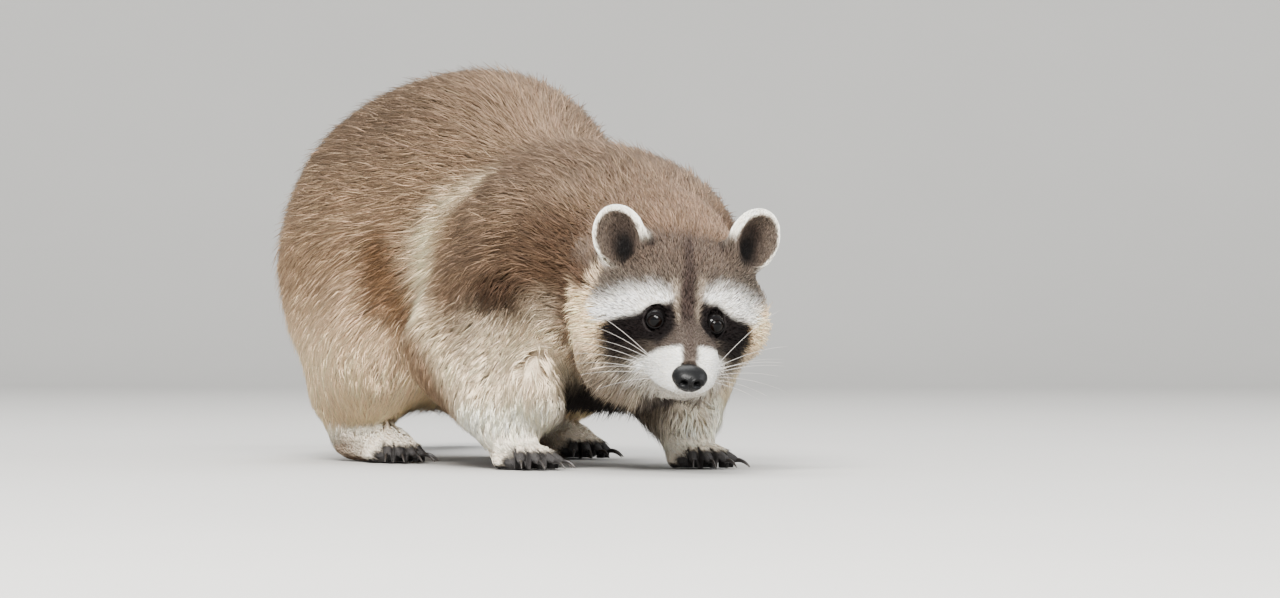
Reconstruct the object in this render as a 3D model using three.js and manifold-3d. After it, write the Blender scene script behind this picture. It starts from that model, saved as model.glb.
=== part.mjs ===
// A common raccoon at life size, standing still with a high, humped rump and a low head that is
// turned to its right. Every solid goes out to the tips of the winter coat.
// Millimetres. The animal faces -Y, +X is its left side, +Z is up, and all four soles stand on z = 0.
import * as THREE from "three";
import { mergeVertices } from "three/addons/utils/BufferGeometryUtils.js";
import Module from "manifold-3d";

const wasm = await Module();
wasm.setup();

// Driving dimensions: the coat's outline in the standing pose.
const RUMP_TOP = 286;
const SHOULDER_TOP = 222;
const SHOULDER_TO_HIP = 236;
const BODY_HALF_WIDTH = 112;

// The head: where the middle of the skull is, and how it is turned.
const HEAD_CENTRE = [-27, -140, 105];
const HEAD_TURN = 24; // degrees to the animal's right
const HEAD_NOD = 15; // degrees down
const HEAD_LEAN = 5; // degrees towards the animal's left
const EYE_SIDE = 18.4;
const EYE_AHEAD = 31.5;
const EYE_UP = 2.4;
const EYE_RADIUS = 7.6;
const NOSE_AHEAD = 84;
const NOSE_UP = -21;
const NOSE_RADII = [11.6, 9.5, 8.8];
const EAR_SIDE = 44;
const EAR_UP = { right: 45.5, left: 51 };
const EAR_BACK = 6;
const EAR_TIP_FORWARD = 8; // degrees
const EAR_LEAN_OUT = 22;
const EAR_TURN_OUT = 16;

const GAP = 0.35; // left between neighbouring solids
const CRUMB = 0.05; // vertices closer than this after the cuts are one
const FAR = 1000; // longer than the animal

const vec = (a) => new THREE.Vector3(a[0], a[1], a[2]);
const rad = THREE.MathUtils.degToRad;

// ---------------------------------------------------------------- fields

// An ellipsoid's distance, in mm, near its surface. Radii run along X, Y and Z of its own turned frame.
function egg(centre, radii, turn = [0, 0, 0]) {
  const back = new THREE.Matrix4()
    .makeRotationFromEuler(new THREE.Euler(...turn.map(rad), "ZXY"))
    .setPosition(vec(centre))
    .invert();
  const q = new THREE.Vector3();
  return (p) => {
    q.copy(p).applyMatrix4(back);
    const k0 = Math.hypot(q.x / radii[0], q.y / radii[1], q.z / radii[2]);
    const k1 = Math.hypot(q.x / radii[0] ** 2, q.y / radii[1] ** 2, q.z / radii[2] ** 2);
    return k1 > 0 ? (k0 * (k0 - 1)) / k1 : -Math.min(...radii);
  };
}

// A chain of tapering rounded lengths through places of [x, y, z, radius].
function chain(...places) {
  const links = places.slice(1).map((end, i) => {
    const start = places[i];
    return { a: vec(start), ab: vec(end).sub(vec(start)), r0: start[3], r1: end[3] };
  });
  const q = new THREE.Vector3();
  return (p) =>
    Math.min(
      ...links.map(({ a, ab, r0, r1 }) => {
        q.copy(p).sub(a);
        const t = Math.min(1, Math.max(0, q.dot(ab) / ab.lengthSq()));
        return q.addScaledVector(ab, -t).length() - (r0 + (r1 - r0) * t);
      }),
    );
}

// Joins fields, filling the crease between them over about `width` mm.
function blended(width, ...fields) {
  return (p) => {
    let d = fields[0](p);
    for (const field of fields.slice(1)) {
      const e = field(p);
      const h = Math.max(width - Math.abs(d - e), 0) / width;
      d = Math.min(d, e) - h * h * width * 0.25;
    }
    return d;
  };
}

// Takes one field out of another, with a soft edge.
function hollowed(width, field, ...cuts) {
  return (p) => {
    let d = field(p);
    for (const cut of cuts) {
      const e = -cut(p);
      const h = Math.max(width - Math.abs(d - e), 0) / width;
      d = Math.max(d, e) + h * h * width * 0.25;
    }
    return d;
  };
}

// The field as seen by something placed with `pose`.
function posed(pose, field) {
  const back = pose.clone().invert();
  const q = new THREE.Vector3();
  return (p) => field(q.copy(p).applyMatrix4(back));
}

// ---------------------------------------------------------------- solids

const AXES = [new THREE.Vector3(1, 0, 0), new THREE.Vector3(0, 1, 0), new THREE.Vector3(0, 0, 1)];

// Meshes the zero level of a field inside a box of [low, high] corners, on a grid of about `step` mm:
// one point in each cell that the surface crosses, and one quad across each grid edge that it crosses.
function surfaceOf(field, [low, high], step) {
  const counts = low.map((v, k) => Math.ceil((high[k] - v) / step) + 1);
  const stride = [1, counts[0], counts[0] * counts[1]];
  const at = (i, j, k) => i + j * stride[1] + k * stride[2];
  const values = new Float64Array(stride[2] * counts[2]);
  const p = new THREE.Vector3();
  const edge = (n, k) => n === 0 || n === counts[k] - 1;
  for (let k = 0; k < counts[2]; k++)
    for (let j = 0; j < counts[1]; j++)
      for (let i = 0; i < counts[0]; i++) {
        p.set(low[0] + i * step, low[1] + j * step, low[2] + k * step);
        const rim = edge(i, 0) || edge(j, 1) || edge(k, 2);
        values[at(i, j, k)] = rim ? Math.max(field(p), 0.1 * step) : field(p);
      }

  const corners = [];
  for (let c = 0; c < 8; c++) corners.push([c & 1, (c >> 1) & 1, (c >> 2) & 1]);
  const pairs = [];
  for (let a = 0; a < 8; a++)
    for (let b = a + 1; b < 8; b++) if ([1, 2, 4].includes(a ^ b)) pairs.push([a, b]);

  const positions = [];
  const pointOf = new Map();
  for (let k = 0; k < counts[2] - 1; k++)
    for (let j = 0; j < counts[1] - 1; j++)
      for (let i = 0; i < counts[0] - 1; i++) {
        const v = corners.map(([a, b, c]) => values[at(i + a, j + b, k + c)]);
        const sum = new THREE.Vector3();
        let crossings = 0;
        for (const [a, b] of pairs) {
          if (v[a] < 0 === v[b] < 0) continue;
          const t = v[a] / (v[a] - v[b]);
          sum.x += corners[a][0] + t * (corners[b][0] - corners[a][0]);
          sum.y += corners[a][1] + t * (corners[b][1] - corners[a][1]);
          sum.z += corners[a][2] + t * (corners[b][2] - corners[a][2]);
          crossings++;
        }
        if (!crossings) continue;
        sum.divideScalar(crossings);
        pointOf.set(at(i, j, k), positions.length / 3);
        positions.push(low[0] + (i + sum.x) * step, low[1] + (j + sum.y) * step, low[2] + (k + sum.z) * step);
      }

  const index = [];
  for (let k = 0; k < counts[2] - 1; k++)
    for (let j = 0; j < counts[1] - 1; j++)
      for (let i = 0; i < counts[0] - 1; i++)
        for (let axis = 0; axis < 3; axis++) {
          const place = [i, j, k];
          if (!place[(axis + 1) % 3] || !place[(axis + 2) % 3]) continue;
          const here = at(i, j, k);
          const inside = values[here] < 0;
          if (inside === values[here + stride[axis]] < 0) continue;
          const u = stride[(axis + 1) % 3];
          const w = stride[(axis + 2) % 3];
          const quad = [here, here - u, here - u - w, here - w].map((n) => pointOf.get(n));
          if (!inside) quad.reverse();
          index.push(quad[0], quad[1], quad[2], quad[0], quad[2], quad[3]);
        }

  return new THREE.BufferGeometry()
    .setAttribute("position", new THREE.Float32BufferAttribute(positions, 3))
    .setIndex(index);
}

// Moves each vertex onto the field's true surface, which rounds off the grid's steps.
function settled(geometry, field) {
  const places = geometry.getAttribute("position");
  const p = new THREE.Vector3();
  const q = new THREE.Vector3();
  const REACH = 0.5;
  for (let i = 0; i < places.count; i++) {
    p.fromBufferAttribute(places, i);
    const d = field(p);
    const slope = AXES.map((axis) => (field(q.copy(p).addScaledVector(axis, REACH)) - d) / REACH);
    const steep = Math.max(0.3, Math.hypot(...slope));
    p.addScaledVector(vec(slope), -d / steep ** 2);
    places.setXYZ(i, p.x, p.y, p.z);
  }
  return geometry;
}

function solidOf(geometry, tolerance = 1e-3) {
  const bare = geometry.clone();
  bare.deleteAttribute("normal");
  bare.deleteAttribute("uv");
  const merged = mergeVertices(bare, tolerance);
  const faces = [];
  const index = merged.index.array;
  for (let i = 0; i < index.length; i += 3) {
    const [a, b, c] = index.slice(i, i + 3);
    if (a !== b && b !== c && c !== a) faces.push(a, b, c);
  }
  return new wasm.Manifold(
    new wasm.Mesh({
      numProp: 3,
      vertProperties: merged.attributes.position.array,
      triVerts: new Uint32Array(faces),
    }),
  );
}

const fleshOf = (field, box, step) => solidOf(settled(surfaceOf(field, box, step), field));

function geometryOf(solid) {
  const mesh = solid.getMesh();
  const geometry = new THREE.BufferGeometry();
  const places = new Float32Array(mesh.numVert * 3);
  for (let i = 0; i < mesh.numVert; i++)
    places.set(mesh.vertProperties.subarray(i * mesh.numProp, i * mesh.numProp + 3), i * 3);
  geometry.setAttribute("position", new THREE.BufferAttribute(places, 3));
  geometry.setIndex(new THREE.BufferAttribute(mesh.triVerts, 1));
  geometry.computeVertexNormals();
  return geometry;
}

// The space beyond a plane through `point`, on the side that `normal` points to, moved off by `gap`.
function beyond(point, normal, gap = 0) {
  const n = vec(normal).normalize();
  const box = new THREE.BoxGeometry(FAR, FAR, FAR);
  box.translate(0, 0, FAR / 2 + gap);
  box.applyQuaternion(new THREE.Quaternion().setFromUnitVectors(AXES[2], n));
  box.translate(...point);
  return solidOf(box);
}

// The space that a limb is parted by: blocks of [low, high] corners, each grown by `more`.
function blocks(list, more = 0) {
  const solids = list.map(([low, high]) => {
    const box = new THREE.BoxGeometry(...high.map((v, k) => v - low[k] + 2 * more));
    box.translate(...high.map((v, k) => (v + low[k]) / 2));
    return solidOf(box);
  });
  return solids.reduce((a, b) => a.add(b));
}

const floorUp = beyond([0, 0, 0], [0, 0, 1]);

// A closed tube through places, with a radius at each place, round or flattened in height.
function tube(places, radii, sides, stepsEach = 2) {
  const curve = new THREE.CatmullRomCurve3(places.map(vec));
  const rings = stepsEach * (places.length - 1);
  const positions = [];
  const index = [];
  const side = new THREE.Vector3();
  const up = new THREE.Vector3();
  for (let r = 0; r <= rings; r++) {
    const t = r / rings;
    const centre = curve.getPoint(t);
    const along = curve.getTangent(t);
    side.crossVectors(along, AXES[2]).normalize();
    up.crossVectors(side, along);
    const s = t * (radii.length - 1);
    const lower = Math.min(radii.length - 2, Math.floor(s));
    const radius = THREE.MathUtils.lerp(radii[lower], radii[lower + 1], s - lower);
    for (let n = 0; n < sides; n++) {
      const a = (2 * Math.PI * n) / sides;
      const p = centre.clone();
      p.addScaledVector(side, radius * Math.cos(a)).addScaledVector(up, radius * Math.sin(a));
      positions.push(p.x, p.y, p.z);
    }
  }
  for (let r = 0; r < rings; r++)
    for (let n = 0; n < sides; n++) {
      const a = r * sides + n;
      const b = r * sides + ((n + 1) % sides);
      index.push(a, b, b + sides, a, b + sides, a + sides);
    }
  for (let n = 1; n < sides - 1; n++) {
    const last = rings * sides;
    index.push(0, n + 1, n, last, last + n, last + n + 1);
  }
  const geometry = new THREE.BufferGeometry();
  geometry.setAttribute("position", new THREE.Float32BufferAttribute(positions, 3));
  geometry.setIndex(index);
  const solid = solidOf(geometry);
  return solid.volume() > 0 ? solid : solidOf(geometry.setIndex(index.reverse()));
}

// ---------------------------------------------------------------- the animal's forms

// The head's own frame: X to its left, Y back from the nose, Z up from the crown.
const headPose = new THREE.Matrix4()
  .makeRotationFromEuler(new THREE.Euler(rad(HEAD_NOD), rad(HEAD_LEAN), rad(-HEAD_TURN), "ZXY"))
  .setPosition(vec(HEAD_CENTRE));
const fromHead = (p) => vec(p).applyMatrix4(headPose).toArray();

const HIP_Y = SHOULDER_TO_HIP;
const trunkForm = blended(
  30,
  egg([0, HIP_Y - 62, RUMP_TOP - 122], [BODY_HALF_WIDTH - 6, 104, 116]), // the hump of the loins
  egg([0, HIP_Y + 8, RUMP_TOP - 130], [BODY_HALF_WIDTH, 102, 114]), // the rump
  egg([0, 62, 138], [BODY_HALF_WIDTH - 22, 104, 88]), // the ribs
  egg([0, 0, SHOULDER_TOP - 76], [80, 70, 72]), // the shoulders
  egg([0, 140, 96], [82, 110, 56]), // the belly
  egg([-18, 4, 84], [34, 62, 46]), // the breast
);

const neckForm = blended(
  24,
  chain([0, -30, 143, 68], [-16, -90, 128, 60]),
  chain([0, -20, 100, 48], [-16, -84, 84, 40]),
);

const faceForm = blended(
  12,
  egg([0, 14, 8], [54, 50, 45]), // the crown
  egg([-3, 8, -13], [57, 44, 35]), // the cheeks
  egg([-39, 13, -18], [31, 31, 38]), // the right ruff
  egg([40, 11, -5], [29.5, 30, 29]), // the left ruff
  chain([0, -14, -6, 29], [0, -54, -14, 19.5]), // the bridge
  chain([0, -50, -17, 21], [0, -75, -21, 13.5]), // the muzzle
  egg([0, -45, -30], [19, 29, 11]), // the chin
  egg([0, -6, -36], [36, 34, 20]), // the throat
);
const eyePlaces = { right: [-EYE_SIDE, -EYE_AHEAD, EYE_UP], left: [EYE_SIDE, -EYE_AHEAD, EYE_UP] };
const headForm = posed(
  headPose,
  hollowed(
    9,
    faceForm,
    ...Object.values(eyePlaces).map(([x, y, z]) => egg([x * 1.1, y - 13, z + 1], [10, 9, 8])),
  ),
);

const tailPlaces = [
  [6, 318, 172, 36],
  [22, 372, 142, 36],
  [58, 430, 106, 37],
  [104, 482, 76, 38],
  [150, 522, 58, 35],
  [184, 550, 50, 22],
];
const tailForm = chain(...tailPlaces);

const arms = {
  right: { shoulder: [-58, 14, 128], elbow: [-83, 58, 84], wrist: [-84, 2, 38], palm: [-80, -18, 13], turn: 14 },
  left: { shoulder: [56, 4, 126], elbow: [80, 34, 80], wrist: [40, -32, 36], palm: [35, -52, 13], turn: 10 },
};
const armForm = ({ shoulder, elbow, wrist, palm }) =>
  blended(
    16,
    egg(shoulder, [50, 62, 74]),
    chain([...elbow, 42], [...wrist, 24]),
    chain([...wrist, 23], [palm[0], palm[1] + 4, palm[2] + 4, 16]),
  );

const legs = {
  right: { hip: [-66, 226, 132], knee: [-90, 168, 92], hock: [-80, 228, 46], ball: [-80, 164, 13], turn: 4 },
  left: { hip: [66, 232, 132], knee: [90, 184, 92], hock: [80, 256, 46], ball: [82, 192, 13], turn: 8 },
};
const legForm = ({ hip, knee, hock, ball }) =>
  blended(
    20,
    egg(hip, [58, 84, 96]),
    egg(knee, [38, 54, 56]),
    chain([...knee, 38], [...hock, 26]),
    chain([...hock, 25], [hock[0], hock[1] - 6, 17, 17], [ball[0], ball[1] + 4, 12, 16]),
  );

const bodyForm = blended(
  22,
  trunkForm,
  neckForm,
  headForm,
  tailForm,
  armForm(arms.right),
  armForm(arms.left),
  legForm(legs.right),
  legForm(legs.left),
);

// ---------------------------------------------------------------- the cuts between the parts

const neckCut = { point: [-17, -92, 110], normal: [-0.28, -0.96, 0.02] };
const shoulderCut = { point: [-4, -42, 120], normal: [-0.1, -0.99, 0.06] };
const tailCut = { point: [16, 352, 150], normal: [0.2, 0.95, -0.25] };
const tailCuts = [
  { point: [58, 430, 106], normal: [0.6, 0.7, -0.38] },
  { point: [127, 502, 67], normal: [0.72, 0.65, -0.26] },
];

const armBlocks = {
  right: [
    [[-170, -41, 40], [-58, 96, 132]],
    [[-170, -80, -2], [-46, 96, 47]],
  ],
  left: [
    [[52, -40, 40], [170, 82, 132]],
    [[10, -108, -2], [170, 82, 47]],
  ],
};
const legBlocks = {
  right: [
    [[-170, 128, 50], [-66, 306, 152]],
    [[-170, 128, -2], [-40, 306, 58]],
  ],
  left: [
    [[66, 136, 50], [170, 314, 152]],
    [[40, 136, -2], [170, 314, 58]],
  ],
};
const WRIST_CUT = 25; // the height at which a forearm meets its paw
const HOCK_CUT = 31;

const FLOOR_BOX_LOW = -12;
const boxAbout = (list, more) => {
  const reach = (pick, k) => pick(...list.map((one) => one[pick === Math.min ? 0 : 1][k]));
  return [
    [0, 1, 2].map((k) => Math.max(reach(Math.min, k) - more, k === 2 ? FLOOR_BOX_LOW : -FAR)),
    [0, 1, 2].map((k) => reach(Math.max, k) + more),
  ];
};

// The grid that each part's surface is made on.
const STEP = { trunk: 30, neck: 21, head: 13.5, arm: 16, leg: 20, tail: 24, paw: 12 };

// ---------------------------------------------------------------- the parts

const coat = (color, roughness = 0.9) => new THREE.MeshStandardMaterial({ color, roughness, metalness: 0 });
const materials = {
  back: coat(0x9c7b5e),
  limb: coat(0xbfa98a),
  face: coat(0xb5aca0),
  ear: coat(0xd9d2c4),
  tail: coat(0x8a7560),
  paw: coat(0xb9ada0, 0.75),
  eye: coat(0x0d0b0a, 0.08),
  nose: coat(0x141416, 0.35),
  claw: coat(0x5a5048, 0.4),
};

const animal = new THREE.Group();
function add(name, solid, material) {
  const clean = largest(solidOf(geometryOf(solid), CRUMB)); // drops what the cuts leave
  const mesh = new THREE.Mesh(geometryOf(clean), material);
  mesh.name = name;
  animal.add(mesh);
}

const cutOff = (solid, { point, normal }) =>
  solid.intersect(beyond(point, normal, GAP / 2));
const keepBefore = (solid, { point, normal }) =>
  solid.subtract(beyond(point, normal, -GAP / 2));

// The trunk keeps what the neck, the tail and the legs' blocks leave.
function trunk() {
  let solid = fleshOf(bodyForm, [[-172, -80, FLOOR_BOX_LOW], [172, 385, 330]], STEP.trunk);
  for (const cut of [shoulderCut, tailCut]) solid = keepBefore(solid, cut);
  for (const list of [...Object.values(armBlocks), ...Object.values(legBlocks)])
    solid = solid.subtract(blocks(list, GAP));
  return largest(solid.intersect(floorUp));
}

function largest(solid) {
  return solid.decompose().reduce((a, b) => (a.volume() > b.volume() ? a : b));
}

function neck() {
  let solid = fleshOf(bodyForm, [[-140, -150, 0], [130, 0, 260]], STEP.neck);
  solid = keepBefore(cutOff(solid, shoulderCut), neckCut);
  for (const list of Object.values(armBlocks)) solid = solid.subtract(blocks(list, GAP));
  return largest(solid);
}

// An ellipsoid with its poles along Z, grown by `more` and placed in the head's frame or another.
function ellipsoid(place, radii, more, sides, pose = headPose) {
  const shape = new THREE.SphereGeometry(1, sides, Math.round(sides * 0.7));
  shape.rotateX(Math.PI / 2);
  shape.scale(...radii.map((r) => r + more));
  shape.translate(...place);
  shape.applyMatrix4(pose);
  return solidOf(shape);
}

const nosePlace = [0, -NOSE_AHEAD, NOSE_UP];
const NOSE_SIDES = 10;
const EYE_RADII = [EYE_RADIUS, EYE_RADIUS, EYE_RADIUS];
const EYE_SIDES = 10;

function nose() {
  let solid = ellipsoid(nosePlace, NOSE_RADII, 0, NOSE_SIDES);
  for (const side of [-1, 1]) {
    const mouth = [side * 4.6, -NOSE_AHEAD - 12, NOSE_UP - 2.6];
    const inner = [side * 3.4, -NOSE_AHEAD - 5, NOSE_UP - 1];
    solid = solid.subtract(tube([fromHead(mouth), fromHead(inner)], [2.3, 1.3], 6, 1));
  }
  return solid;
}

function head() {
  const box = [[-130, -255, 0], [80, -70, 200]];
  let solid = cutOff(fleshOf(headOnNeck, box, STEP.head), neckCut);
  solid = solid.subtract(ellipsoid(nosePlace, NOSE_RADII, GAP, NOSE_SIDES));
  for (const place of Object.values(eyePlaces))
    solid = solid.subtract(ellipsoid(place, EYE_RADII, GAP, EYE_SIDES));
  for (const side of ["right", "left"]) solid = solid.subtract(ear(side, GAP));
  return largest(solid);
}
const headOnNeck = blended(22, headForm, neckForm);

// An ear is a rounded cup, open to the front and tilted outwards.
const EAR = { radii: [18.4, 11.6, 22.6], cup: [14.2, 11.6, 17.8], cupAt: [0, -7.5, 1], sides: 12 };
function ear(side, more = 0) {
  const out = side === "right" ? -1 : 1;
  const turns = [-EAR_TIP_FORWARD, out * EAR_LEAN_OUT, out * EAR_TURN_OUT].map(rad);
  const pose = new THREE.Matrix4()
    .makeRotationFromEuler(new THREE.Euler(...turns, "ZYX"))
    .setPosition(out * EAR_SIDE, EAR_BACK, EAR_UP[side])
    .premultiply(headPose);
  const outer = ellipsoid([0, 0, 0], EAR.radii, more, EAR.sides, pose);
  return more ? outer : outer.subtract(ellipsoid(EAR.cupAt, EAR.cup, 0, EAR.sides, pose));
}

function limb(list, step, lowest) {
  const solid = fleshOf(bodyForm, boxAbout(list, 2 * step), step).intersect(blocks(list));
  return largest(solid.intersect(beyond([0, 0, lowest], [0, 0, 1])));
}
const arm = (side) => limb(armBlocks[side], STEP.arm, WRIST_CUT);
const leg = (side) => limb(legBlocks[side], STEP.leg, HOCK_CUT);

// A paw is a palm with five toes that fan out from it; each toe ends in a flat that its claw meets.
const TOE_SPREAD = 20; // degrees between neighbouring toes
const TOE_RADII = [5.2, 4.9, 4.5, 4.1, 2.5];
const toeSets = {
  // how far each toe reaches beyond the palm's edge, first toe to fifth, and how high its knuckle is
  fore: { lengths: [16, 23, 26, 24, 19], from: 12, lift: 12 },
  hind: { lengths: [14, 18, 20, 19, 15], from: 12, lift: 11.5 },
};
const CLAW = { length: 9, radius: 1.7, tip: 0.5 };

function toeRoutes(kind, side, [x, y], turn) {
  const { lengths, from, lift } = toeSets[kind];
  const inner = side === "right" ? 1 : -1;
  return lengths.map((length, n) => {
    const angle = rad(turn + inner * (2 - n) * TOE_SPREAD);
    const out = [Math.sin(angle), -Math.cos(angle)];
    const spot = (far, z) => [x + out[0] * far, y + out[1] * far, z];
    const end = from + length;
    return {
      toe: [spot(from - 9, lift - 2), spot(from + length * 0.45, lift), spot(end - 5, 7.4), spot(end, 5.2)],
      claw: [spot(end + GAP * 1.2, 4.8), spot(end + CLAW.length * 0.5, 4.6), spot(end + CLAW.length, 1.5)],
    };
  });
}

function paw(palmFields, routes, box, top) {
  let solid = fleshOf(blended(10, ...palmFields), box, STEP.paw);
  for (const { toe } of routes) solid = solid.add(tube(toe, TOE_RADII, 6, 1));
  return solid.intersect(floorUp).subtract(beyond([0, 0, top - GAP], [0, 0, 1]));
}

function forePaw(side) {
  const { wrist, palm, turn } = arms[side];
  const routes = toeRoutes("fore", side, palm, turn);
  const fields = [
    chain([...wrist, 23], [palm[0], palm[1] + 6, 16, 15]),
    egg([palm[0], palm[1] - 2, 8.5], [20, 19, 12]),
  ];
  const box = [[palm[0] - 44, palm[1] - 40, FLOOR_BOX_LOW], [palm[0] + 44, palm[1] + 52, 60]];
  return { routes, solid: paw(fields, routes, box, WRIST_CUT) };
}

function hindPaw(side) {
  const { hock, ball: front, turn } = legs[side];
  const routes = toeRoutes("hind", side, front, turn);
  const fields = [
    chain([...hock, 25], [hock[0], hock[1] - 6, 17, 17], [front[0], front[1] + 4, 12, 14]),
    egg([front[0], front[1], 8.5], [20, 20, 12]),
  ];
  const box = [[front[0] - 44, front[1] - 40, FLOOR_BOX_LOW], [front[0] + 44, hock[1] + 44, 66]];
  return { routes, solid: paw(fields, routes, box, HOCK_CUT) };
}

function addPaw(kind, side, { routes, solid }) {
  add(`${kind}_paw_${side}`, solid, materials.paw);
  const radii = [CLAW.radius, CLAW.radius * 0.8, CLAW.tip];
  routes.forEach(({ claw }, n) =>
    add(`${kind}_claw_${side}_${n + 1}`, tube(claw, radii, 5, 1), materials.claw),
  );
}

function tail() {
  const box = [[-80, 280, FLOOR_BOX_LOW], [250, 610, 250]];
  const whole = cutOff(fleshOf(bodyForm, box, STEP.tail), tailCut);
  const alone = largest(whole);
  const [first, second] = tailCuts;
  return {
    tail_base: keepBefore(alone, first),
    tail_middle: keepBefore(cutOff(alone, first), second),
    tail_tip: cutOff(alone, second),
  };
}

add("trunk", trunk(), materials.back);
add("neck", neck(), materials.back);
add("head", head(), materials.face);
add("nose", nose(), materials.nose);
for (const side of ["right", "left"]) {
  add(`ear_${side}`, ear(side), materials.ear);
  add(`eye_${side}`, ellipsoid(eyePlaces[side], EYE_RADII, 0, EYE_SIDES), materials.eye);
  add(`arm_${side}`, arm(side), materials.limb);
  add(`leg_${side}`, leg(side), materials.limb);
  addPaw("fore", side, forePaw(side));
  addPaw("hind", side, hindPaw(side));
}
for (const [name, solid] of Object.entries(tail())) add(name, largest(solid), materials.tail);

// The origin is on the floor, under the middle of the whole animal's box.
const middle = new THREE.Box3().setFromObject(animal).getCenter(new THREE.Vector3());
animal.position.set(-middle.x, -middle.y, 0);

export default animal;
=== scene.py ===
"""A life-size raccoon in its winter coat: one skin over the flesh of a fixed frame of solids, with its
eyes, nose, claws and whiskers, and a coat of solid tufts that follow the lie of the hair.

Lengths inside the script are millimetres in the animal's own frame: the shoulders are over x = y = 0,
the animal faces -Y, +X is its left side and the floor is z = 0. The meshes are in metres, in the
frame's own axes. The head has a frame of its own: X to its left, Y back from the nose and Z up.
"""

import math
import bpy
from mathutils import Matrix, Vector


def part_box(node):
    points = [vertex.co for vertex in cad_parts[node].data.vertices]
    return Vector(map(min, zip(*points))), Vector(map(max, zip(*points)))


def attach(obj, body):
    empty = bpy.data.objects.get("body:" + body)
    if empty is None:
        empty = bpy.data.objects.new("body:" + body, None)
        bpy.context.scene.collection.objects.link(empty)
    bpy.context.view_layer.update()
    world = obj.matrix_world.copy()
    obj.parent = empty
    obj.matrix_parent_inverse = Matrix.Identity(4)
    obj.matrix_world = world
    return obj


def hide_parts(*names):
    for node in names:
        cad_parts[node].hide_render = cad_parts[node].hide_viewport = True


bl_info = {
    "name": "Raccoon in Winter Coat",
    "version": (1, 0, 0),
    "blender": (4, 5, 0),
    "location": "3D View > Sidebar > Raccoon",
    "description": "Builds the skin, coat, eyes, nose, claws and whiskers of a standing raccoon",
    "category": "Object",
}

import bmesh
import bpy
import numpy as np
from bpy.props import FloatProperty, FloatVectorProperty, PointerProperty
from mathutils import Vector
from mathutils.bvhtree import BVHTree
from mathutils.kdtree import KDTree

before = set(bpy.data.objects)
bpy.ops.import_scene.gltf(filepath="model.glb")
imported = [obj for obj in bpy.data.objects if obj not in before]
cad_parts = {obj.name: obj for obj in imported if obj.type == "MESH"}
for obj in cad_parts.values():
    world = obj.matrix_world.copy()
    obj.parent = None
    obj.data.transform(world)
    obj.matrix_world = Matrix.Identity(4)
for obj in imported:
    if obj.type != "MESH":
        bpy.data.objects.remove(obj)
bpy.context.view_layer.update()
BODY = "root"
SIDES = ("right", "left")
PER_METRE = 1000.0

# ---------------- where things are

HEAD_CENTRE = np.array([-27.0, -140.0, 105.0])  # the middle of the skull in the animal's frame
EYE_CENTRE = np.array([18.4, -31.5, 2.4])  # the left eye in the head's frame; the right one mirrors it
EYE_RADIUS = 7.6
NOSE_CENTRE = np.array([0.0, -84.0, -21.0])
NOSE_RADII = np.array([11.6, 9.5, 8.8])

FLESH = ["trunk", "neck", "head", "tail_base", "tail_middle", "tail_tip"]
FLESH += [f"{part}_{side}" for part in ("ear", "arm", "leg", "fore_paw", "hind_paw") for side in SIDES]
KINDS = ("trunk", "neck", "head", "tail", "ear", "arm", "leg", "fore_paw", "hind_paw")

TAIL_LINE = np.array(
    [[6, 318, 172], [22, 372, 142], [58, 430, 106], [104, 482, 76], [150, 522, 58], [184, 550, 50]]
)


def middle(node):
    low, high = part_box(node)
    return (np.array(low) + np.array(high)) / 2 * PER_METRE


def head_axes():
    """The head's origin and its three axes in the frame, in mm, from where its eyes and nose are."""
    right, left, nose = middle("eye_right"), middle("eye_left"), middle("nose")
    side = (left - right) / np.linalg.norm(left - right)
    reach = nose - (left + right) / 2
    reach -= side * (reach @ side)
    reach /= np.linalg.norm(reach)
    slope = math.atan2(EYE_CENTRE[2] - NOSE_CENTRE[2], EYE_CENTRE[1] - NOSE_CENTRE[1])
    across = np.cross(side, reach)
    back = -math.cos(slope) * reach + math.sin(slope) * across
    up = -math.sin(slope) * reach - math.cos(slope) * across
    origin = (left + right) / 2 - EYE_CENTRE[1] * back - EYE_CENTRE[2] * up
    return origin, np.array([side, back, up])


HEAD_ORIGIN, HEAD_AXES = head_axes()
SHOULDER = HEAD_ORIGIN - HEAD_CENTRE


def to_head(body):
    return (body - HEAD_CENTRE) @ HEAD_AXES.T


def from_head(head):
    return np.asarray(head) @ HEAD_AXES + HEAD_CENTRE


def to_metres(body):
    return (np.asarray(body) + SHOULDER) / PER_METRE


def to_body(metres):
    return np.asarray(metres) * PER_METRE - SHOULDER


# ---------------- small sums


def unit(vectors):
    vectors = np.asarray(vectors, float)
    return vectors / np.maximum(np.linalg.norm(vectors, axis=-1, keepdims=True), 1e-9)


def ramp(low, high, value):
    """0 below low, 1 above high, and a smooth rise between; low may be the greater."""
    t = np.clip((value - low) / (high - low), 0, 1)
    return t * t * (3 - 2 * t)


def bell(value, middle, width):
    """1 at the middle value, falling off on both sides."""
    return np.exp(-(((value - middle) / width) ** 2))


def from_oval(places, centre, radii):
    """How far places are from an oval's centre; 1 is on the oval."""
    return np.linalg.norm((places - centre) / radii, axis=1)


def folded(places):
    """Places' three columns, with the first folded onto one side."""
    return np.abs(places[:, 0]), places[:, 1], places[:, 2]


def mixed(first, second, share):
    """Goes from first to second. A share for each row of places or colours serves the whole row."""
    share = np.asarray(share, float)
    if share.ndim and (3,) in (np.shape(first)[-1:], np.shape(second)[-1:]):
        share = share[..., None]
    return first + (second - first) * share


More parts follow.
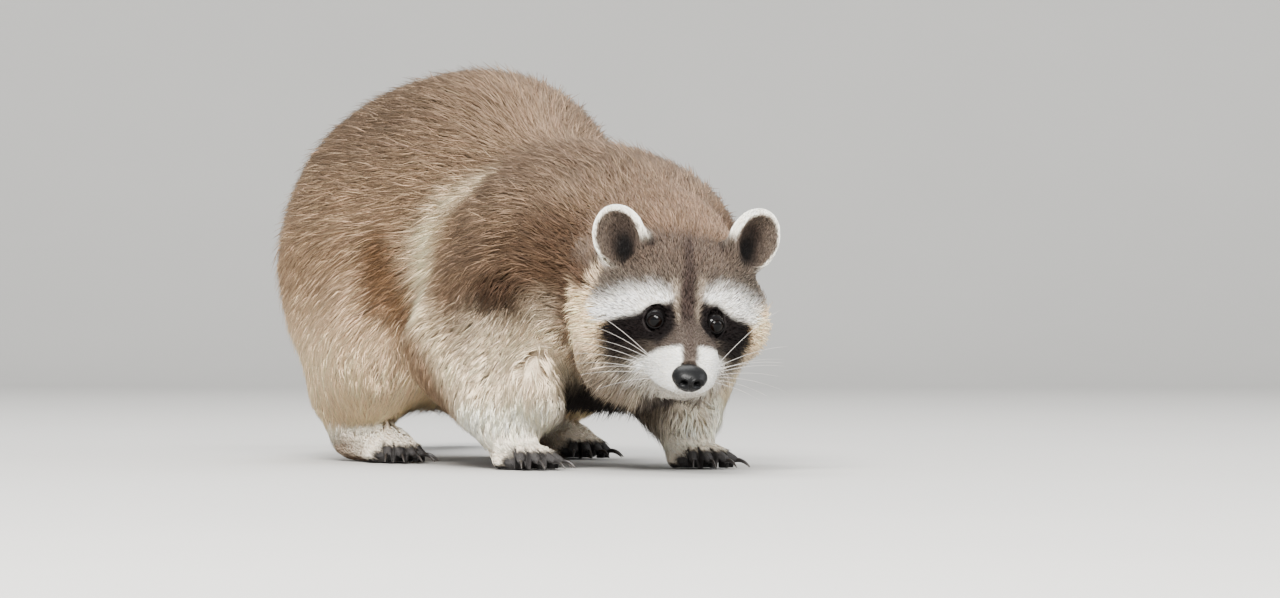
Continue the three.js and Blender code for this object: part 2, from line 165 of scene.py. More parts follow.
def to_line(points, line, radii=None):
    """Each point's distance to a bent line of places, less the line's radius there."""
    line = np.asarray(line, float)
    radii = np.zeros(len(line)) if radii is None else radii
    nearest = np.full(len(points), np.inf)
    for start, end, first, last in zip(line[:-1], line[1:], radii[:-1], radii[1:]):
        along = end - start
        t = np.clip((points - start) @ along / (along @ along), 0, 1)
        gap = np.linalg.norm(points - start - t[:, None] * along, axis=1)
        nearest = np.minimum(nearest, gap - mixed(first, last, t))
    return nearest


def linear(colour):
    """A colour of 0 to 1 steps as the eye sees them, as light."""
    colour = np.asarray(colour, float)
    return np.where(colour <= 0.04045, colour / 12.92, ((colour + 0.055) / 1.055) ** 2.4)


def hue(red, green, blue):
    return linear(np.array([red, green, blue]) / 255)


def share_of(kinds, *names):
    """How much each place is of some kinds, from its row of shares."""
    return kinds[:, [KINDS.index(name) for name in names]].sum(1)


# ---------------- markings, shared by the skin and the coat

PALETTE = {  # the hair's tips, as the eye sees them
    "rump": hue(133, 111, 90),
    "flank": hue(188, 157, 125),
    "thigh": hue(248, 216, 178),
    "shoulder": hue(127, 106, 87),
    "saddle": hue(117, 94, 75),
    "nape": hue(128, 105, 86),
    "band": hue(255, 232, 194),
    # painted shade along the fold behind the arm
    "crease": hue(124, 92, 64),
    "neck_side": hue(82, 61, 45),
    # painted shade in the fold of the arm
    "armpit_shade": hue(66, 44, 31),
    "forearm": hue(248, 226, 194),
    "wrist": hue(255, 245, 224),
    "belly": hue(112, 96, 80),
    # dark underfur, made darker as painted shade under the head
    "chest": hue(50, 44, 40),
    "heel": hue(124, 100, 78),
    "forehead": hue(98, 88, 78),
    "brow": hue(255, 253, 248),
    "wedge": hue(140, 124, 108),
    "ruff": hue(254, 224, 184),
    "cheek": hue(204, 188, 164),
    "mask": hue(19, 13, 12),
    "jowl": hue(50, 40, 34),
    "stripe": hue(58, 46, 41),
    "bridge": hue(86, 75, 67),
    "muzzle": hue(255, 251, 242),
    "crown": hue(90, 72, 60),
    "low_ruff": hue(146, 130, 113),
    # grey chin hair, partly painted shade under the jaw
    "chin_in_shade": hue(214, 208, 196),
    "ear": hue(54, 44, 38),
    "ear_hair": hue(92, 80, 70),
    "ear_rim": hue(254, 247, 232),
    # painted shade in the ear's well, over its dark inner skin
    "ear_well_shade": hue(12, 9, 8),
    "ring_pale": hue(172, 146, 112),
    "ring_dark": hue(34, 27, 23),
    "paw": hue(240, 230, 212),
    "toe": hue(46, 42, 40),
    "under": hue(108, 82, 60),
    "under_pale": hue(200, 176, 146),
    "under_grey": hue(70, 61, 53),
    "under_dark": hue(22, 18, 16),
}

# Lines of the face's marks, across and up from the middle of the eyes' level: (across, up), radius.
MASK_LINE = [(11.2, 16.5), (13.2, 10.0), (18.5, 5.0), (31.0, -2.5), (45.0, -9.0)]
MASK_RADII = [1.0, 4.6, 9.6, 8.6, 9.4]
LOWER_MASK_LINE = [(29.0, -12.0), (40.0, -18.5), (48.0, -14.0)]
LOWER_MASK_RADII = [4.5, 9.0, 8.0]
JOWL_LINE = [(45.0, -27.0), (36.0, -35.0), (25.0, -38.0)]
JOWL_RADII = [5.5, 4.5, 2.5]
BROW_LINE = [(12.5, 19.5), (22.0, 19.0), (34.0, 13.5), (46.0, 8.5), (58.0, 4.0)]
BROW_RADII = [3.0, 6.0, 8.2, 7.6, 7.5]
WEDGE_LINE = [(7.6, 10.0), (8.6, 28.0)]
WEDGE_RADII = [1.6, 2.8]
RUFF_LINE = [(50, 8, 36), (59, 14, 22), (68, 19, 2), (69, 22, -18), (60, 26, -40)]  # in the head's frame
RUFF_RADII = [3.5, 4.5, 7.0, 11.0, 12.0]
EAR_PATCH = np.array([27.0, -1.0, 48.5])  # black, at the ear's inner corner
EAR_PATCH_RADII = [6.5, 8, 6]
MARKS_LEAN = 0.06  # the left side's marks are a little higher than the right side's
MARKS_PINCH = 0.25  # and nearer to the nose
# Lines on a flank: (back, up).
BAND_LINE = [(52.0, 200.0), (88.0, 180.0), (99.0, 155.0), (88.0, 121.0), (38.0, 94.0), (16.0, 64.0)]
BAND_RADII = [4.0, 10.0, 15.0, 13.0, 8.0, 11.0]
# The fold behind each arm, along which a dark line of painted shade runs.
CREASE_LINE = [(140.0, 152.0), (124.0, 120.0), (98.0, 102.0), (66.0, 88.0)]
EAR_CENTRE = {"right": np.array([-44.0, 6.0, 45.5]), "left": np.array([44.0, 6.0, 51.0])}
EAR_RADII = np.array([18.4, 11.6, 22.6])
EAR_TURN = tuple(math.radians(a) for a in (-8.0, 22.0, 16.0))  # about X, Y and Z, for the left ear
# Centre and radii, in mm, of the oval of painted shade at the right armpit.
ARMPIT, ARMPIT_RADII = np.array([98.0, -16.0, 118.0]), [40, 24, 17]
PALMS = {"right": np.array([-80.0, -18.0]), "left": np.array([35.0, -52.0])}
BALLS = {"right": np.array([-80.0, 164.0]), "left": np.array([82.0, 192.0])}
TAIL_RINGS = 6.5
CLAW_HALF = 4.6  # half the length of a claw's solid, in mm
TOE_START, TOE_PAST = 4, 9  # mm from a paw's middle, and past a toe's end, between which the toe is felt
TOE_ROOM = 14  # mm to a toe's side that still belong to it
FAR = 99.0  # mm; further off than anything that matters


def ear_axes():
    x, y, z = EAR_TURN
    about_x = np.array([[1, 0, 0], [0, math.cos(x), -math.sin(x)], [0, math.sin(x), math.cos(x)]])
    about_y = np.array([[math.cos(y), 0, math.sin(y)], [0, 1, 0], [-math.sin(y), 0, math.cos(y)]])
    about_z = np.array([[math.cos(z), -math.sin(z), 0], [math.sin(z), math.cos(z), 0], [0, 0, 1]])
    return about_z @ about_y @ about_x


def to_ear(head):
    """Head places as seen from the nearer ear, as if it were the left one: X is away from the nose."""
    left = (head - EAR_CENTRE["left"]) @ ear_axes()
    right = ((head - EAR_CENTRE["right"]) * [-1, 1, 1]) @ ear_axes()
    return np.where(head[:, :1] > 0, left, right)


def to_marks(head):
    """Head places folded onto one side of the face: across from its middle, back, and up."""
    across, up = np.abs(head[:, 0]), head[:, 2] - MARKS_LEAN * head[:, 0]
    across = across + MARKS_PINCH * np.maximum(across - 20, 0) * (head[:, 0] > 0)
    return np.stack([across, head[:, 1], up], 1)


def along_tail(body):
    """How far along the tail each place is, 0 at its root and 1 at its tip, and the tail's direction."""
    steps = np.diff(TAIL_LINE, axis=0)
    reach = np.concatenate([[0], np.cumsum(np.linalg.norm(steps, axis=1))])
    best = np.full(len(body), np.inf)
    share = np.zeros(len(body))
    heading = np.zeros((len(body), 3))
    for start, step, low, high in zip(TAIL_LINE, steps, reach[:-1], reach[1:]):
        t = np.clip((body - start) @ step / (step @ step), 0, 1)
        gap = np.linalg.norm(body - start - t[:, None] * step, axis=1)
        nearer = gap < best
        best = np.where(nearer, gap, best)
        share = np.where(nearer, (low + t * (high - low)) / reach[-1], share)
        heading[nearer] = unit(step)
    return share, heading


def within(points, line, radii, soft):
    """1 inside a mark drawn along a line, fading over `soft` mm about its edge."""
    return ramp(soft / 2, -soft / 2, to_line(points, line, radii))


class Colours:
    """Tip and root colours at a set of places, painted over mark by mark."""

    def __init__(self, tip, root):
        self.tip, self.root = tip, root

    def paint(self, colour, share, under=None):
        self.tip = mixed(self.tip, PALETTE[colour], share)
        if under:
            self.root = mixed(self.root, PALETTE[under], share)


def body_marks(body):
    """Tip and root colours on the trunk, neck, arms and legs."""
    across = body[:, 0]  # above 0 on the left side
    x, y, z = folded(body)
    flank = body[:, 1:]
    colours = Colours(
        mixed(PALETTE["flank"], PALETTE["rump"], ramp(150, 250, z)),
        np.tile(PALETTE["under"], (len(body), 1)),
    )
    paint = colours.paint
    front = ramp(90, 20, y)
    paint("shoulder", front * ramp(150, 200, z))
    paint("saddle", front * ramp(195, 150, z) * 0.85)
    paint("nape", ramp(-60, -110, y) * ramp(120, 160, z))
    behind = ramp(96, 130, y)
    paint("thigh", behind * ramp(150, 72, z), "under_pale")
    # Painted shade along the fold behind each arm.
    paint("crease", within(flank, CREASE_LINE, [10, 12, 12, 9], 16) * ramp(40, 70, x) * 0.95)
    band = within(flank, BAND_LINE, BAND_RADII, 28) * ramp(30, 70, x)
    paint("band", band * mixed(0.95, 0.5, ramp(-20, 20, across)), "under_pale")
    paint("neck_side", ramp(0, -50, y) * ramp(192, 160, z) * ramp(88, 122, z) * 0.9)
    arm = ramp(40, -4, y) * ramp(128, 90, z) * ramp(20, 40, x)
    arm = arm * np.maximum(ramp(-66, -48, y), ramp(-20, 0, across))
    paint("forearm", arm * 0.9, "cheek")
    # Painted shade in the fold of the right arm: a dark brown oval, on the right side only.
    armpit_shade = ramp(1.3, 0.4, from_oval(np.stack([x, y, z], 1), ARMPIT, ARMPIT_RADII))
    paint("armpit_shade", armpit_shade * (across < 0) * 0.85, "under_dark")
    paint("wrist", ramp(54, 38, z) * ramp(30, 10, y), "under_pale")
    # Pale throat hair on the left arm's front under the chin, raised as painted light where the head
    # shades it.
    paint("wrist", ramp(22, 36, across) * ramp(-30, -50, y) * ramp(80, 60, z) * 0.9, "under_pale")
    under = ramp(40, 5, x) * ramp(84, 60, z) * (1 - ramp(-20, -50, y) * ramp(12, 26, across))
    paint("belly", under, "under_grey")
    # Painted shade under the head and between the arms, over the chest's own dark underfur.
    chest = ramp(84, 36, y) * ramp(104, 80, z) * ramp(18, -4, across) * ramp(-70, -36, across)
    paint("chest", chest, "under_dark")
    paint("heel", behind * ramp(26, 10, z) * 0.9, "under")
    return colours.tip, colours.root


def white_edge(y):
    """How high the white of the muzzle reaches, by the distance back from the nose."""
    return -3.0 - 0.52 * (y + 71)


def face_marks(head):
    """Tip and root colours on the head."""
    marks = to_marks(head)
    across = head[:, 0]  # above 0 on the left side
    x, y, z = marks.T
    front = marks[:, [0, 2]]
    colours = Colours(*(np.tile(PALETTE[name], (len(head), 1)) for name in ("forehead", "under_grey")))
    paint = colours.paint
    ruff = within(marks, RUFF_LINE, RUFF_RADII, 9)
    paint("nape", ramp(8, 24, y - 0.3 * x + 12) * ramp(24, 44, z), "under")
    behind_cheek = ramp(10, 24, y) * ramp(-14, 8, z) * ramp(40, 18, z) * ramp(70, 60, x - y)
    paint("neck_side", behind_cheek, "under")
    paint("crown", ramp(22, 44, z) * ramp(24, 4, y) * 0.7)
    paint("cheek", ramp(-18, -34, z) * ramp(14, 26, x))
    paint("low_ruff", ramp(-28, -42, z) * ramp(18, 32, x) * ramp(10, -10, across) * 0.8)
    paint("ruff", ramp(46, 58, x) * ramp(14, 2, z) * ramp(-42, -18, z), "under_pale")
    paint("bridge", ramp(-28, -40, y) * ramp(25, 20, x))
    above = z - np.interp(x, *np.transpose(BROW_LINE))
    soft = mixed(4.5, 15.0, ramp(-1, 4, above))
    brow = within(front, BROW_LINE, BROW_RADII, soft) * ramp(34, 8, y)
    # The white brow is weaker on the left side, as painted shade on that side of the face.
    paint("brow", brow * ramp(150, 0, across * ramp(0, 30, across)), "cheek")
    paint("wedge", within(front, WEDGE_LINE, WEDGE_RADII, 5) * 0.8, "cheek")
    paint("jowl", within(front, JOWL_LINE, JOWL_RADII, 7) * ramp(26, -6, y) * 0.85, "mask")
    stripe = ramp(9.0, 1.4, x / mixed(1.0, 0.66, ramp(24, 46, z))) * mixed(0.95, 0.75, ramp(30, 50, z))
    paint("stripe", stripe * ramp(-64, -42, y) * ramp(62, 46, z), "under_dark")
    paint("stripe", ramp(5.0, 1.5, x) * ramp(-42, -64, y) * ramp(-14, -6, z) * 0.5)
    lower = within(front, LOWER_MASK_LINE, LOWER_MASK_RADII, 10) * mixed(0.84, 0.95, ramp(0, 20, across))
    mask = np.maximum(within(front, MASK_LINE, MASK_RADII, 5), lower)
    paint("mask", mask * ramp(22, 4, y) * ramp(-60, -48, y - 0.6 * (z - 5)), "mask")
    white = ramp(2.8, -2.4, z - white_edge(y)) * ramp(3.8, 7.6, x) * ramp(-24, -32, y)
    under_nose = ramp(-24, -29, z) * ramp(-40, -52, y)
    paint("muzzle", np.maximum(white, under_nose) * ramp(-38, -31, z), "muzzle")
    # The chin and lower lip: grey hair, darker than the muzzle's white partly as painted shade under the
    # jaw.
    paint("chin_in_shade", ramp(-30, -38, z) * ramp(-4, -34, y), "cheek")
    paint("mask", ramp(1.3, 0.6, from_oval(marks, EAR_PATCH, EAR_PATCH_RADII)) * 0.85, "mask")
    # The pale ruff fades towards the left side, as painted shade on that side of the face.
    paint("ruff", ruff * ramp(44, 30, z) * ramp(120, 0, across), "under_pale")
    return colours.tip, colours.root


def ear_marks(head):
    """Tip and root colours on the ears: a pale rim round a dark hollow, and painted shade in its well.
    """
    local = to_ear(head)
    x, y, z = local.T
    ring = np.hypot(x / EAR_RADII[0], z / EAR_RADII[2])
    front = np.maximum(ramp(3, -2, y), ramp(0.92, 0.74, from_oval(local, 0, EAR_RADII)))
    inner_side = ramp(4, -4, x)
    rim = ramp(0.74, 0.86, ring) * ramp(mixed(-19, -7, inner_side), mixed(-12, 1, inner_side), z)
    hollow = ramp(1.1, 0.45, np.hypot((x + 2.0) / 14.0, (z + 2.0) / 18.0))
    # Painted shade in the ear's well, over its dark inner skin.
    recess_shade = ramp(1.45, 0.35, np.hypot((x + 1.5) / 7.5, (z + 8.0) / 12.0)) * front
    colours = Colours(mixed(PALETTE["ear_hair"], PALETTE["ear"], hollow * front), PALETTE["under_grey"])
    colours.paint("ear_rim", rim, "cheek")
    colours.paint("ear_well_shade", recess_shade, "ear_well_shade")
    return colours.tip, colours.root


def tail_marks(body):
    """Tip and root colours on the tail, with its rings and its dark end."""
    share, _ = along_tail(body)
    wave = np.sin(2 * math.pi * (share * TAIL_RINGS - 0.55))
    dark = ramp(-0.1, 0.5, wave) * ramp(0.02, 0.12, share)
    dark = np.maximum(dark, ramp(0.88, 0.93, share))
    tip, root = body_marks(body)
    tip = mixed(tip, PALETTE["ring_pale"], ramp(0.0, 0.14, share))
    root = mixed(root, PALETTE["under"], 0.5)
    return mixed(tip, PALETTE["ring_dark"], dark), mixed(root, PALETTE["under_dark"], dark)


def toe_lines():
    """Each toe as its paw's middle, its direction over the floor and how far it reaches."""
    lines = []
    for kind, centres in (("fore", PALMS), ("hind", BALLS)):
        for side in SIDES:
            for number in range(1, 6):
                core = middle(f"{kind}_claw_{side}_{number}") - SHOULDER
                away = core[:2] - centres[side]
                reach = np.linalg.norm(away)
                lines.append((centres[side], away / reach, reach - CLAW_HALF))
    return lines


def on_toes(body):
    """How far out along the nearest toe each place is, in mm and as a share, and how far to its side."""
    along = np.zeros(len(body))
    share = np.zeros(len(body))
    beside = np.full(len(body), FAR)
    for palm, way, reach in toe_lines():
        away = body[:, :2] - palm
        out = away @ way
        across = np.abs(away[:, 0] * way[1] - away[:, 1] * way[0])
        nearer = (across < beside) & (out > TOE_START) & (out < reach + TOE_PAST)
        along, share = np.where(nearer, out, along), np.where(nearer, out / reach, share)
        beside = np.where(nearer, across, beside)
    return along, share, beside


def toe_share(body):
    """1 on the bare dark sides and ends of the toes, 0 on the hair on the back of the hand or foot."""
    along, share, beside = on_toes(body)
    end = ramp(0.62, 0.86, share)
    flank = ramp(2.0, 3.4, beside) * ramp(12, 18, along)
    low = ramp(11, 7, body[:, 2]) * ramp(9, 14, along)
    return np.maximum(np.maximum(end, flank), low) * (beside < TOE_ROOM)


def paw_marks(body):
    """Tip and root colours on the paws: pale hair above, dark toes and soles, brown heels."""
    toe = toe_share(body)
    sole = ramp(5, 2, body[:, 2])
    bare = np.maximum(toe, sole)
    tip = mixed(PALETTE["paw"], PALETTE["toe"], bare)
    root = mixed(PALETTE["under_pale"], PALETTE["under_dark"], bare)
    heel = ramp(26, 10, body[:, 2]) * ramp(170, 215, body[:, 1])
    return mixed(tip, PALETTE["heel"], heel * 0.8), mixed(root, PALETTE["under"], heel)


def markings(body, kinds):
    """The tip and root colours at places in the animal's frame, by how much each is of each kind."""
    head = to_head(body)
    sets = [
        (share_of(kinds, "trunk", "neck", "arm", "leg"), body_marks(body)),
        (share_of(kinds, "head"), face_marks(head)),
        (share_of(kinds, "ear"), ear_marks(head)),
        (share_of(kinds, "tail"), tail_marks(body)),
        (share_of(kinds, "fore_paw", "hind_paw"), paw_marks(body)),
    ]
    return [sum(share[:, None] * pair[layer] for share, pair in sets) for layer in (0, 1)]


# ---------------- meshes


def new_mesh(name, vertices, faces):
    """A mesh from arrays of places in metres and of triangles or quads."""
    made = bpy.data.meshes.new(name)
    sides = faces.shape[1]
    made.vertices.add(len(vertices))
    made.vertices.foreach_set("co", np.ascontiguousarray(vertices, np.float32).ravel())
    made.loops.add(faces.size)
    made.loops.foreach_set("vertex_index", np.ascontiguousarray(faces, np.int32).ravel())
    made.polygons.add(len(faces))
    made.polygons.foreach_set("loop_start", np.arange(0, faces.size, sides, dtype=np.int32))
    made.polygons.foreach_set("use_smooth", np.ones(len(faces), bool))
    made.update(calc_edges=True)
    return made


def new_piece(name, mesh, material, slot, *replaced):
    """Puts a mesh in the scene as a piece that rides on the body, and hides the solids it stands for."""
    piece = bpy.data.objects.new(name, mesh)
    bpy.context.scene.collection.objects.link(piece)
    mesh.materials.clear()
    mesh.materials.append(material)
    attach(piece, BODY)
    if replaced:
        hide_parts(*replaced)
    return piece


def read(collection, field, width):
    """One field of every item of a mesh's collection, as an array."""
    values = np.empty(len(collection) * width, np.float32)
    collection.foreach_get(field, values)
    return values.reshape(-1, width).astype(float) if width > 1 else values.astype(float)


def add_tint(mesh, colours):
    layer = mesh.color_attributes.new(name="tint", type="FLOAT_COLOR", domain="POINT")
    full = np.ones((len(colours), 4), np.float32)
    full[:, :3] = colours
    layer.data.foreach_set("color", full.ravel())


def add_value(mesh, name, values):
    layer = mesh.attributes.new(name=name, type="FLOAT", domain="POINT")
    layer.data.foreach_set("value", np.ascontiguousarray(values, np.float32))


# ---------------- the skin

VOXEL = 2.1  # mm, of the grid on which the flesh is joined
SEAM_CLOSING = 0.35  # mm that the parts grow by, so that the cuts between them close
EASING = dict(zip(KINDS, (90, 60, 9, 40, 2, 40, 60, 1, 1)))  # rounds, by kind
COAT_DEPTH = dict(zip(KINDS, (19.0, 16.0, 7.0, 19.0, 0.9, 9.0, 14.0, 1.2, 2.2)))  # mm, by kind
BACK_OF_HEAD_EASING = 20  # more rounds, behind the cheeks
HEAD_SHARE = 0.3  # how much a place must be of the head for the lids and the muzzle to shape it
THINNEST_COAT = 0.4  # mm
SKIN_TINT = 0.6  # the skin's colour, from the hair's roots to its tips
DEPTH_STEPS = 8  # in which the skin sinks by its coat's depth
DEPTH_EASING = 60  # rounds by which one part's depth of coat blends into the next
THICKNESS_SHARE = 0.36  # the hair's depth is at most this much of the flesh's thickness
THICKEST = 100.0  # mm; flesh thicker than this counts as this thick
PAW_HEIGHT, PAW_REACH, SOCKET_REACH = 20, 50, 17  # mm; where the skin's faces are finer
MUZZLE_BOX = np.array([(-1, -110, -60), (40, -40, 12)])  # the same, in the folded head's frame
# The roll of flesh between the right arm and the chest, from the arm inwards.
FILLET_LINE = np.array([(-84, -30, 78), (-77, -31, 60), (-64, -26, 44), (-52, -20, 34)])
FILLET_RADIUS, FILLET_RINGS = 16.0, 24

skin = {}  # what the coat needs to know of the skin: its places, normals, neighbours and traits


def fillet():
    """A rounded roll of flesh that fills the fold between the right arm and the chest."""
    share = np.linspace(0, 1, FILLET_RINGS)
    knots = np.linspace(0, 1, len(FILLET_LINE))
    line = np.stack([np.interp(share, knots, column) for column in FILLET_LINE.T], 1)
    radii = FILLET_RADIUS * (1 - (2 * share - 1) ** 4) ** 0.5 + 0.1
    return to_metres(tube(line, radii, FILLET_RINGS)), grid_faces(FILLET_RINGS, FILLET_RINGS)


def joined_flesh():
    """The flesh's solids as one set of welded triangles, grown a little, and each triangle's kind."""
    parts, kinds = [], []
    for node in FLESH:
        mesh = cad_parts[node].data
        mesh.calc_loop_triangles()
        points = read(mesh.vertices, "co", 3)
        corners = read(mesh.loop_triangles, "vertices", 3).astype(int)
        points, again = np.unique(np.round(points, 7), axis=0, return_inverse=True)
        corners = again.reshape(-1)[corners]
        points = points + vertex_normals(points, corners) * SEAM_CLOSING / PER_METRE
        parts.append((points, corners))
        kinds.append(next(k for k, name in enumerate(KINDS) if node.startswith(name)))
    parts.append(fillet())
    kinds.append(KINDS.index("arm"))
    return *joined(parts), np.repeat(kinds, [len(corners) for _, corners in parts])


def face_normals(corners):
    """Triangles' normals, as long as twice their areas."""
    return np.cross(corners[:, 1] - corners[:, 0], corners[:, 2] - corners[:, 0])


def vertex_normals(points, faces):
    """Normals at the points of a triangle mesh, weighed by area."""
    flat = face_normals(points[faces])
    total = np.zeros_like(points)
    for corner in range(3):
        for axis in range(3):
            total[:, axis] += np.bincount(faces[:, corner], flat[:, axis], len(points))
    return unit(total)


def eased(values, ends, rounds):
    """Values at a mesh's points, drawn towards their neighbours' mean; rounds may differ by point."""
    values = np.array(values, float)
    columns = values.reshape(len(values), -1)
    first, last = ends.T
    count = len(columns)
    neighbours = np.maximum(np.bincount(first, minlength=count) + np.bincount(last, minlength=count), 1)
    rounds = np.broadcast_to(rounds, count)
    for turn in range(int(np.ceil(rounds.max()))):
        pull = np.clip(rounds - turn, 0, 1) / 2
        for axis in range(columns.shape[1]):
            column = columns[:, axis]
            total = np.bincount(first, column[last], count) + np.bincount(last, column[first], count)
            column += pull * (total / neighbours - column)
    return columns.reshape(values.shape)


def by_kind(kinds, table):
    return kinds @ np.array([table[kind] for kind in KINDS], float)


def remeshed(points, faces):
    """The outer surface of overlapping solids on an even grid."""
    rough = new_mesh("rough_flesh", points, faces)
    body = bpy.data.objects.new("rough_flesh", rough)
    bpy.context.scene.collection.objects.link(body)
    grid = body.modifiers.new("grid", "REMESH")
    grid.mode = "VOXEL"
    grid.voxel_size = VOXEL / PER_METRE
    graph = bpy.context.evaluated_depsgraph_get()
    made = bpy.data.meshes.new_from_object(body.evaluated_get(graph))
    bpy.data.objects.remove(body)
    bpy.data.meshes.remove(rough)
    return made


def refine_skin(mesh):
    """Divides the faces round the eyes, nose, mouth and toes, where the form is finest."""
    form = bmesh.new()
    form.from_mesh(mesh)
    palms = [*PALMS.values(), *BALLS.values()]
    inside = []
    for face in form.faces:
        place = to_body(np.array(face.calc_center_median()))
        spot = to_head(place)
        spot[0] = abs(spot[0])
        if place[2] < PAW_HEIGHT:
            fine = min(np.hypot(*(place[:2] - palm)) for palm in palms) < PAW_REACH
        else:
            fine = np.linalg.norm(spot - EYE_CENTRE) < SOCKET_REACH
            fine = fine or (MUZZLE_BOX[0] < spot).all() and (spot < MUZZLE_BOX[1]).all()
        if fine:
            inside.append(face)
    edges = list({edge for face in inside for edge in face.edges})
    bmesh.ops.subdivide_edges(form, edges=edges, cuts=1, use_grid_fill=True)
    bmesh.ops.triangulate(form, faces=[face for face in form.faces if len(face.verts) != 3])
    form.to_mesh(mesh)
    form.free()


def skin_kinds(points, ends, flesh_points, flesh_faces, flesh_kinds):
    """How much each point is of each kind, blending over a few millimetres at the borders."""
    tree = BVHTree.FromPolygons(flesh_points.tolist(), flesh_faces.tolist())
    nearest = np.array([tree.find_nearest(Vector(point))[2] for point in points])
    return eased(np.eye(len(KINDS))[flesh_kinds[nearest]], ends, 5)


def coat_depth(body, kinds):
    """How deep the hair lies at each place, in mm."""
    x, y, z = folded(to_head(body))
    height = body[:, 2]
    depth = by_kind(kinds, COAT_DEPTH)
    face = 3.2 + 9.0 * ramp(38, 62, x) * ramp(30, -2, z) + 7.0 * ramp(-12, 22, y)
    face = mixed(face, 7.0, ramp(-20, -40, z) * ramp(10, 28, x) * ramp(-56, -30, y))
    face = mixed(face, 1.6, ramp(-42, -58, y))
    share, _ = along_tail(body)
    for kind, own in (
        ("head", mixed(face, 14.0, ramp(24, 44, y))),
        ("arm", mixed(14.0, 6.5, ramp(100, 50, height))),
        ("leg", mixed(16.0, 8.0, ramp(100, 48, height))),
        ("tail", mixed(20.0, 13.0, ramp(0.7, 1.0, share))),
        ("hind_paw", mixed(5.0, 1.4, ramp(30, 14, height))),
    ):
        depth = mixed(depth, own, share_of(kinds, kind))
    return depth


def on_front(body, kinds):
    """1 on the front of the head, where the form is fine, and 0 behind the cheeks."""
    return ramp(30, 8, to_head(body)[:, 1]) * share_of(kinds, "head")


def spared(points, faces, ends, depth):
    """The coat's depth, made less where the flesh is thin."""
    normals = vertex_normals(points, faces)
    tree = BVHTree.FromPolygons(points.tolist(), faces.tolist())
    rays = zip((points - normals * 0.4).tolist(), (-normals).tolist())
    thick = np.array([tree.ray_cast(*ray, THICKEST)[3] or THICKEST for ray in rays])
    thick = np.minimum(thick, eased(thick, ends, 6))
    return eased(np.minimum(depth, THICKNESS_SHARE * thick), ends, 8)


def sunk(points, faces, ends, depth):
    """Moves a surface in by its coat's depth, a little at a time, so that it stays even."""
    for _ in range(DEPTH_STEPS):
        normals = unit(eased(vertex_normals(points, faces), ends, 4))
        points = points - normals * (depth / DEPTH_STEPS)[:, None]
        points = eased(points, ends, np.minimum(depth / 9, 1))
    return points


# The eyes look a little outwards and upwards; across and up are the opening's own directions.
EYE_GAZE = unit([0.30, -0.95, 0.06])
LID_HALF = (5.3, 4.4)  # half the opening's width and height, in mm
LID_THICK = 0.8
LID_REACH = 15.5  # mm from an eye's centre to which its lids shape the skin
LID_TILT = math.radians(-9)  # the outer corner is a little lower
EYE_CORNER = 0.16  # how much the opening narrows to its two corners


def eye_frame(side):
    """An eye's centre and its gaze, across and up directions, all in the head's frame."""
    fold = np.array([side, 1.0, 1.0])
    across = -unit(np.cross(EYE_GAZE, [0, 0, 1.0]))
    up = -np.cross(across, EYE_GAZE)
    turned = across * math.cos(LID_TILT) + up * math.sin(LID_TILT)
    risen = up * math.cos(LID_TILT) - across * math.sin(LID_TILT)
    return EYE_CENTRE * fold, EYE_GAZE * fold, turned * fold, risen * fold


def opening(angle):
    """The lids' edge round an eye: across and up, in mm, at each angle."""
    narrow = 1 - EYE_CORNER * np.abs(np.cos(angle)) ** 3
    return LID_HALF[0] * np.cos(angle), LID_HALF[1] * np.sin(angle) * narrow


def open_lids(head):
    """Draws the skin round each eyeball and opens it in front."""
    for side in (1, -1):
        centre, gaze, across, up = eye_frame(side)
        away = head - centre
        reach = np.linalg.norm(away, axis=1)
        ahead = away @ gaze
        wide, high = away @ across, away @ up
        angle = np.arctan2(high / LID_HALF[1], wide / LID_HALF[0])
        ring = np.hypot(wide, high) / np.hypot(*opening(angle))
        radial = away / np.maximum(reach, 1e-6)[:, None]
        hold = ramp(LID_REACH, 9.0, reach) * ramp(-3.0, 1.5, ahead)
        lid = centre + radial * (EYE_RADIUS + LID_THICK)
        head = mixed(head, lid, hold * ramp(2.1, 1.25, ring) * 0.97)
        inner = centre + radial * (EYE_RADIUS - 1.6)
        head = mixed(head, inner, (ring < 1) * (ahead > 0) * (reach < LID_REACH))
        brow_fold = bell(ring, 1.75, 0.22) * hold * ramp(-1, 3, high)
        head = head - radial * (brow_fold * 0.7)[:, None]
    return head


TOE_RADIUS = 3.6
TOE_ARCH = [(0.0, 12.5), (0.45, 12.6), (0.72, 9.6), (0.88, 7.0), (1.0, 5.4)]  # their middles: along, up


def shape_toes(body, paws):
    """Parts the toes: each stays round on top, and the skin between them drops to the floor."""
    along, share, beside = on_toes(body)
    ridge = np.interp(share, *np.transpose(TOE_ARCH))
    knuckle = bell(share, 0.52, 0.08) + 0.7 * bell(share, 0.80, 0.06)
    radius = TOE_RADIUS * mixed(1.08, 0.84, ramp(0.3, 1.0, share)) + 0.35 * knuckle
    inner = np.clip(beside / radius, 0, 1)
    top = ridge + radius * np.sqrt(1 - inner**2)
    web = mixed(15.0, 1.0, ramp(11, 20, along))
    top = np.where(beside < radius, np.maximum(top, web), web)
    share_of_paw = ramp(9, 15, along) * (beside < TOE_ROOM) * paws
    body[:, 2] = mixed(body[:, 2], np.minimum(body[:, 2], top), share_of_paw)
    return body


MOUTH_LINE = [(0, -84, -32.5), (6.5, -79, -34.0), (13, -67, -33.5), (20, -52, -33.0), (25, -38, -31.5)]
WHISKER_PAD, WHISKER_PAD_RADII = [12.0, -67, -24], [9, 12, 8]


